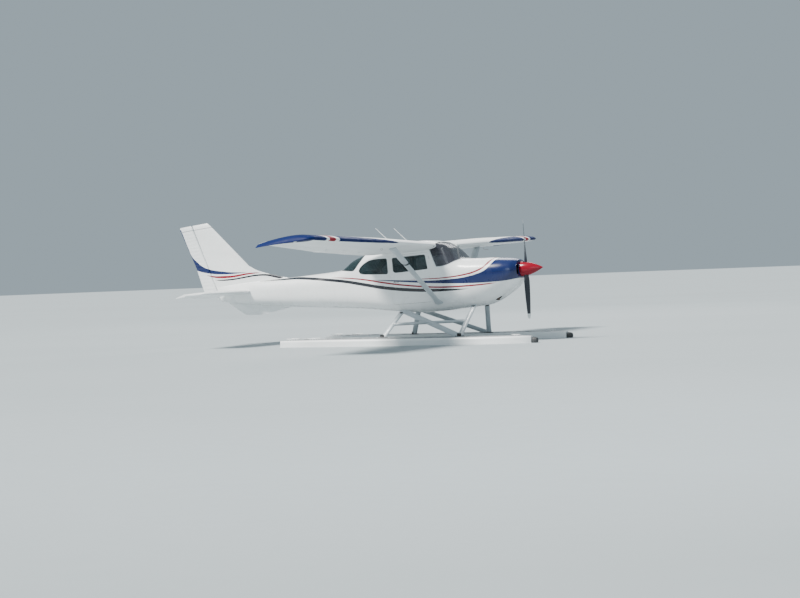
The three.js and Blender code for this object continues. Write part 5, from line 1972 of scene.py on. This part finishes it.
class FLOATPLANE_OT_fittings(Piece, bpy.types.Operator):
    """Antennas, lamps, pitot tube, fuel caps, vents, hinges, latches and tie-down rings"""

    bl_idname = "floatplane.fittings"
    bl_label = "Airframe fittings"

    def execute(self, context):
        white, black, steel, skin, beacon, lamp = ([] for _ in range(6))
        for side in (1, -1):
            foot, tip = np.array([2958, side * 430, 664.0]), np.array([3356, side * 430, 1068.0])
            white.append(tube("whip", [foot, (foot + tip) / 2, tip], [5.5, 4.5, 3], 10))
            black.append(turned("base", capsule(17, 26), foot, tip - foot, 20))
            vent = on_wing(622, 0.004, -0.006, side)[0]
            outs = [np.array([0, math.cos(a), math.sin(a)]) for a in turns(24)]
            white.append(hoop("vent", [vent + 26 * out for out in outs], outs, AFT, 5))
            # A black disc in the vent's ring: painted shade in its opening
            black.append(turned("hole", [(-3, 22), (6, 22)], vent, AFT, 24))
            lens = [(2425, side * 5434, 722), (2455, side * 5437, 720), (2490, side * 5439, 718)]
            lamp.append(tube("lens", lens, [8, 19, 10], 14))
            cap = [(-4, 40), (3, 40), (6, 36), (7, 20)]
            steel.append(turned("cap", cap, wing_skin(1250, 0.22, side), (0, 0.03, 1), 28))
            eye = wing_skin(2300, 0.2, side, True) - (0, 0, 20)
            outs = [np.array([math.cos(a), 0, math.sin(a)]) for a in turns(20)]
            steel.append(hoop("ring", [eye + 20 * out for out in outs], outs, (0, 1, 0), 4))
            for y in HINGE_PLACES:
                low = wing_skin(y, 0.66 if y < 2600 else 0.71, side, True)
                rows = [(0, 4, 4), (0.15, 14, 14), (0.6, 22, 20), (1, 14, 12)]
                ends = low + (-60, 0, -4), low + (52, 0, -10)
                white.append(loft("hinge", strut_rings(*ends, rows, 16, UP)))
            ledge = [on_side(s, -525, side, 4) for s in (1698, 1740, 1820, 1862)]
            white.append(tube("ledge", ledge, [5, 11, 11, 5], 10))
            for z in (380, -380):
                ends = [on_side(2176, z + k, side, 3) for k in (-34, 34)]
                steel.append(tube("hinge", ends, 5, 10))
            for s in (700, 960, 1220):
                latch = on_side(s, -20, side, -1)
                out = body_out(latch[None])[0]
                skin.append(turned("latch", [(0, 11), (2, 11), (3, 8)], latch, out, 16))
        pitot = [(2520, 3100, 625), (2520, 3100, 560), (2500, 3100, 545), (2400, 3100, 540)]
        steel.append(tube("pitot", pitot, [8, 8, 7, 6], 12))
        belly = (3000, 0, float(body_low(3000)) + 2)
        beacon.append(turned("beacon", capsule(32, 44, 1.0), belly, (0, 0, -1), 28))
        lamp.append(turned("tail_lamp", capsule(13, 20, 1.0), (7404, 0, -78), (1, 0, -0.1), 18))
        for look, parts, slot in (
            ("white", white, "white_paint"),
            ("black", black, "black_paint"),
            ("steel", steel, "bare_steel"),
            ("skin", skin, "white_paint"),
            ("lamp_red", beacon, "white_paint"),
            ("lamp", lamp, "white_paint"),
        ):
            fitted(shade(joined("fittings_" + look, parts), 45), look, slot=slot)
        return {"FINISHED"}


CLEATS = ((330, 0), (4700, -104), (4700, 104), (5180, -104), (5180, 104))
HATCHES = ((800, 78), (1250, 78), (2150, 78), (2750, 78), (3550, 78), (4250, 78), (4900, 55))


class FLOATPLANE_OT_float_fittings(Piece, bpy.types.Operator):
    """Cleats, hatches, pump caps, tow straps and cable guides of the floats"""

    bl_idname = "floatplane.float_fittings"
    bl_label = "Float fittings"

    def execute(self, context):
        rear = BOW + FLOAT_LENGTH
        for name, side in SIDES:
            centre = side * FLOAT_CENTRE
            white, dark, steel = [], [], []
            for aft, across in CLEATS:
                s, y = BOW + aft, centre + across
                for k in (-28, 28):
                    white.append(upright("post", [(0, 9), (24, 7)], (s + k, y, DECK - 4), 12))
                bar = [(s + a, y, DECK + z) for a, z in ((-90, 26), (-55, 22), (55, 22), (90, 26))]
                white.append(tube("bar", bar, [5, 8, 8, 5], 10, True))
            for aft, size in HATCHES:
                s, y = BOW + aft, centre - side * 60
                lid = [(0, size), (5, size), (8, size - 4), (6, size - 12), (6, 14), (12, 11)]
                dark.append(upright("hatch", lid, (s, y, DECK - 1), 36))
                place = (s + 150, y + 20 * side, DECK - 1)
                steel.append(upright("pump", [(0, 13), (9, 12), (11, 8)], place, 16))
            path = [(BOW + a, centre - side * 170, DECK + 16) for a in (2900, 3300, 4200, 5000)]
            path.append((BOW + 5350, centre - side * 90, DECK - 20))
            steel.append(tube("cable", path, 2.5, 8, True))
            for s, y, _ in path[1:-1]:
                steel.append(upright("guide", [(0, 10), (20, 7)], (s, y, DECK - 3), 12))
            for z in (330, 500):
                strap = [
                    (rear + a, centre + across, z + up)
                    for a, across, up in ((-4, -40, 30), (12, 0, 20), (-4, 40, 30))
                ]
                steel.append(tube("strap", strap, 4, 8, True))
            for key, parts, slot in (
                ("hull", white, "float_paint"),
                ("deck", dark, "float_paint"),
                ("steel", steel, "bare_steel"),
            ):
                whole = shade(joined(f"float_{key}_fittings_{name}", parts), 40)
                fitted(whole, key, slot=slot)
        return {"FINISHED"}


# Rivets

RIVET_INPUTS = {
    "Geometry": "Geometry", "Radius": "Float", "Height": "Float", "Seed": "Int",
    "Finish": "Material"
}


def rivet_tree():
    """Domed heads on points that carry their outward direction."""
    tree = bpy.data.node_groups.new("rivet_heads", "GeometryNodeTree")
    face = tree.interface
    for label, kind in RIVET_INPUTS.items():
        face.new_socket(label, in_out="INPUT", socket_type="NodeSocket" + kind)
    face.new_socket("Geometry", in_out="OUTPUT", socket_type="NodeSocketGeometry")
    given = placed(tree, "NodeGroupInput").outputs

    def add(kind, inputs, **settings):
        return placed(tree, kind, inputs, **settings).outputs

    narrow = add("ShaderNodeMath", {0: given["Radius"], 1: 0.55}, operation="MULTIPLY")
    radius, depth = given["Radius"], given["Height"]
    sizes_in = {"Radius Top": narrow[0], "Radius Bottom": radius, "Depth": depth}
    head = add("GeometryNodeMeshCone", {"Vertices": 7, **sizes_in})
    out = add("GeometryNodeInputNamedAttribute", {"Name": "out"}, data_type="FLOAT_VECTOR")
    aim = add("FunctionNodeAlignRotationToVector", {"Vector": out["Attribute"]}, axis="Z")
    spin = add("FunctionNodeRandomValue", {3: 6.28, "Seed": given["Seed"]}, data_type="FLOAT")
    axis = add("FunctionNodeAxisAngleToRotation", {"Angle": spin[1]})
    turn = add("FunctionNodeRotateRotation", {0: aim[0], 1: axis[0]}, rotation_space="LOCAL")
    points = add("GeometryNodeMeshToPoints", {"Mesh": given["Geometry"]})
    heads = {"Points": points[0], "Instance": head["Mesh"], "Rotation": turn[0]}
    real = add("GeometryNodeRealizeInstances", {0: add("GeometryNodeInstanceOnPoints", heads)[0]})
    finish = add("GeometryNodeSetMaterial", {"Geometry": real[0], "Material": given["Finish"]})
    placed(tree, "NodeGroupOutput", {0: finish[0]})
    return tree


def rivets(name, body, finish, points, outs):
    """Rivet heads at points in the frame's metres."""
    mesh = bpy.data.meshes.new(name)
    mesh.from_pydata(np.asarray(points).tolist(), [], [])
    held = mesh.attributes.new("out", "FLOAT_VECTOR", "POINT")
    held.data.foreach_set("vector", np.asarray(outs, float).ravel())
    piece = bpy.data.objects.new(name, mesh)
    bpy.context.scene.collection.objects.link(piece)
    tree = bpy.data.node_groups.get("rivet_heads") or rivet_tree()
    modifier = piece.modifiers.new("rivets", "NODES")
    modifier.node_group = tree
    values = {
        "Radius": sizes().rivet, "Height": sizes().rivet * 0.55, "Seed": sizes().seed,
        "Finish": MATERIALS[finish]
    }
    for item in tree.interface.items_tree:
        if item.item_type == "SOCKET" and item.in_out == "INPUT" and item.name in values:
            modifier[item.identifier] = values[item.name]
    settled(piece)
    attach(piece, body)
    return piece


def inside(points, outline):
    """Whether each point (s, z) is inside a closed outline."""
    found = np.zeros(len(points), bool)
    for a, b in zip(outline, [*outline[1:], outline[0]], strict=True):
        cross = (a[1] > points[:, 1]) != (b[1] > points[:, 1])
        with np.errstate(divide="ignore", invalid="ignore"):
            at = (b[0] - a[0]) * (points[:, 1] - a[1]) / ((b[1] - a[1]) or 1) + a[0]
        found ^= cross & (points[:, 0] < at)
    return found


RIVET_FRAMES = (1365, 1620, 2130, 3095, 3620, 4370, 4425, 4900, 5480, 6050, 6480, 6900, 7290)
RIVET_LEVELS = (-360, -40, 130)
RIVET_PITCH = 62


def foil_slope(x, row):
    """Slope of the wing's upper (0) or lower (1) skin at share x of the chord."""
    ahead = max(x - 0.01, 0.0001)
    return float(foil(x + 0.01)[row] - foil(ahead)[row]) / 0.02


def body_rivets():
    """Rivet places along the fuselage's frames and stringers, clear of its openings."""
    spots = []
    for s in RIVET_FRAMES:
        ring = body_rings([s], 0, 400)[0]
        length = np.r_[0, np.cumsum(np.linalg.norm(np.diff(ring, axis=0), axis=1))]
        at = np.arange(0, length[-1], RIVET_PITCH)
        spots.append(np.column_stack([np.interp(at, length, ring[:, k]) for k in range(3)]))
    for level in RIVET_LEVELS:
        for side in (1, -1):
            s = np.arange(1400, 7300, RIVET_PITCH)
            z = float(level) * np.interp(s, [1400, 4400, 7300], [1, 0.72, 0.3])
            spots.append(np.column_stack([s, side * body_side(s, z), z]))
    spots = np.vstack(spots)
    clear = (spots[:, 2] <= 560) | (spots[:, 0] >= 3700)
    for outline, amount in (
        (GLASS_FRONT_SHAPE, 18), (GLASS_BACK_SHAPE, 18), (SIDE_WINDOW_SHAPE, 18), (DOOR_SHAPE, 12),
    ):
        clear &= ~inside(spots[:, [0, 2]], grown(outline, amount))
    return spots[clear]


def wing_rivets():
    """Rivet places along the wing's ribs and spars, with their outward directions."""
    spots, outs = [], []
    for _, side in SIDES:
        for row, upward in ((0, 1), (1, -1)):
            places = [
                (x, y)
                for y in np.arange(700, 5200, 405)
                for x in np.arange(0.03, 0.7 if y < WING["break"] else 0.74, 0.04)
            ]
            places += [(x, y) for x in (0.28, 0.66) for y in np.arange(640, 5230, RIVET_PITCH)]
            for x, y in places:
                spots.append(wing_skin(y, x, side, row == 1))
                outs.append((-foil_slope(x, row) * upward, 0, upward))
    return spots, outs


def float_rivets():
    """Rivet places along the floats' deck edges, with their outward directions."""
    spots, outs = [], []
    for _, side in SIDES:
        for across in (-1, 1):
            for aft in np.arange(150, 5350, RIVET_PITCH):
                if STEP_PLACE - 5 < aft < STEP_PLACE + 10:
                    continue
                rows = HULL_FRONT if aft < STEP_PLACE else HULL_REAR
                chine, deck, wide, half = (
                    float(eased(rows[:, 0], rows[:, k], [aft])[0]) for k in (2, 3, 4, 5)
                )
                z = deck - 62
                t = (z - chine - 6) / (deck - 52 - chine - 6)
                y, inner = wide + (half - wide) * t + 2, half * 0.84
                s, centre = BOW + aft, side * FLOAT_CENTRE
                spots += [(s, centre + across * y, z), (s, centre + across * inner, deck + 0.5)]
                outs += [(0, across, 0), (0, 0, 1)]
    return spots, outs


class FLOATPLANE_OT_rivets(Piece, bpy.types.Operator):
    """Rivet rows along the frames, stringers, ribs and spars"""

    bl_idname = "floatplane.rivets"
    bl_label = "Rivets"

    def execute(self, context):
        spots = body_rivets()
        outs = frame_directions(body_out(spots))
        rivets("fuselage_rivets", "airframe", "skin", world(spots), outs)
        spots, outs = wing_rivets()
        outs = frame_directions(outs)
        rivets("wing_rivets", "airframe", "wing", world(spots), outs)
        spots, outs = float_rivets()
        spots, outs = world(spots, True), frame_directions(outs, True)
        rivets("float_rivets", "airframe", "hull", spots, outs)
        return {"FINISHED"}


# Stage

# The camera's axes and place, in metres
CAMERA = {
    "right": (0.90177, 0.43056, -0.03776), "up": (0.02746, 0.03013, 0.99917),
    "back": (0.43134, -0.90206, 0.01535), "place": (16.3459, -32.2495, 1.8987)
}


# The floor's radius, in metres, and its number of sides
FLOOR = (260, 48)
# Kind, place, size in radians or metres, power and colour of each light
LIGHTS = {
    "key": ("SUN", (-9, -11, 21), math.radians(16), 8.0, (1, 0.975, 0.93)),
    "fill": ("AREA", (14, -21, 9), 10, 700, (0.8, 0.93, 1)),
    "rim": ("AREA", (-4, 19, 14), 9, 900, (1, 1, 1))
}


class FLOATPLANE_OT_stage(Piece, bpy.types.Operator):
    """Floor at the waterline, soft lights and the camera"""

    bl_idname = "floatplane.stage"
    bl_label = "Stage"

    def execute(self, context):
        scene = context.scene
        level = sizes().waterline
        radius, count = FLOOR
        points = [(0, 0, level)]
        points += [(radius * math.cos(a), radius * math.sin(a), level) for a in turns(count)]
        mesh = bpy.data.meshes.new("floor")
        faces = [(0, 1 + k, 1 + (k + 1) % count) for k in range(count)]
        mesh.from_pydata(points, [], faces)
        floor = bpy.data.objects.new("floor", mesh)
        scene.collection.objects.link(floor)
        material, tree, shader = recipe("floor_paint")
        surface(tree, shader, worn(tree, (0.37, 0.415, 0.435), 0.96, 0.2), 0.75, 0.05)
        mesh.materials.append(material)

        studio = bpy.data.worlds.new("studio")
        scene.world = studio
        studio.use_nodes = True
        sky = studio.node_tree.nodes["Background"]
        sky.inputs["Color"].default_value = (0.66, 0.82, 0.92, 1)
        sky.inputs["Strength"].default_value = 0.52
        for name, (kind, place, size, power, tint) in LIGHTS.items():
            light = bpy.data.lights.new(name, kind)
            if kind == "SUN":
                light.angle = size
            else:
                light.shape, light.size = "DISK", size
            light.energy, light.color = power, tint
            lamp = bpy.data.objects.new(name, light)
            lamp.location = place
            direction = Vector((0, 0, 1.4)) - Vector(place)
            lamp.rotation_euler = direction.to_track_quat("-Z", "Y").to_euler()
            scene.collection.objects.link(lamp)

        data = bpy.data.cameras.new("camera")
        data.sensor_fit = "HORIZONTAL"
        data.sensor_width = 36
        data.lens = sizes().lens
        data.clip_end = 1000
        camera = bpy.data.objects.new("camera", data)
        scene.collection.objects.link(camera)
        columns = [(*CAMERA[k], 0) for k in ("right", "up", "back")] + [(*CAMERA["place"], 1)]
        camera.matrix_world = Matrix(columns).transposed()
        scene.camera = camera
        return {"FINISHED"}


class FLOATPLANE_OT_frame_finishes(Piece, bpy.types.Operator):
    """Finishes of the frame's own solids that stay in sight"""

    bl_idname = "floatplane.frame_finishes"
    bl_label = "Frame finishes"

    def execute(self, context):
        finish = {
            "white_paint": "white", "blue_paint": "skin", "red_paint": "red",
            "black_paint": "black", "float_paint": "hull", "bumper_rubber": "rubber",
            "bare_steel": "steel", "seat_steel": "black", "engine_iron": "iron",
            "seat_cloth": "seat", "cabin_plastic": "plastic", "glazing": "glass"
        }
        for solid in frame["nodes"].values():
            for holder in solid.material_slots:
                name = holder.material.name.split(".")[0] if holder.material else ""
                holder.material = MATERIALS[finish.get(name, "white")]
        return {"FINISHED"}


class FLOATPLANE_PT_panel(bpy.types.Panel):
    """Lists the steps that build the aircraft"""

    bl_idname = "FLOATPLANE_PT_panel"
    bl_label = "Floatplane"
    bl_space_type = "VIEW_3D"
    bl_region_type = "UI"
    bl_category = "Floatplane"

    def draw(self, context):
        for settings in (context.scene.floatplane_paint, context.scene.floatplane_sizes):
            for key in settings.bl_rna.properties.keys():
                if key not in ("rna_type", "name"):
                    self.layout.prop(settings, key)
        for step in STEPS:
            self.layout.operator(step.bl_idname)


STEPS = (
    FLOATPLANE_OT_materials, FLOATPLANE_OT_frame_finishes, FLOATPLANE_OT_nose,
    FLOATPLANE_OT_propeller, FLOATPLANE_OT_cabin, FLOATPLANE_OT_glazing, FLOATPLANE_OT_doors,
    FLOATPLANE_OT_wings, FLOATPLANE_OT_tail, FLOATPLANE_OT_wing_struts, FLOATPLANE_OT_floats,
    FLOATPLANE_OT_float_gear, FLOATPLANE_OT_water_rudders, FLOATPLANE_OT_interior,
    FLOATPLANE_OT_fittings, FLOATPLANE_OT_float_fittings, FLOATPLANE_OT_rivets, FLOATPLANE_OT_stage
)
GROUPS = (PaintSettings, SizeSettings)


def register():
    for kind in (*GROUPS, *STEPS, FLOATPLANE_PT_panel):
        bpy.utils.register_class(kind)
    bpy.types.Scene.floatplane_paint = PointerProperty(type=PaintSettings)
    bpy.types.Scene.floatplane_sizes = PointerProperty(type=SizeSettings)


def unregister():
    del bpy.types.Scene.floatplane_sizes
    del bpy.types.Scene.floatplane_paint
    for kind in (FLOATPLANE_PT_panel, *reversed(STEPS), *reversed(GROUPS)):
        bpy.utils.unregister_class(kind)


def main():
    register()
    for step in STEPS:
        getattr(bpy.ops.floatplane, step.bl_idname.split(".")[1])()


if __name__ == "__main__":
    main()
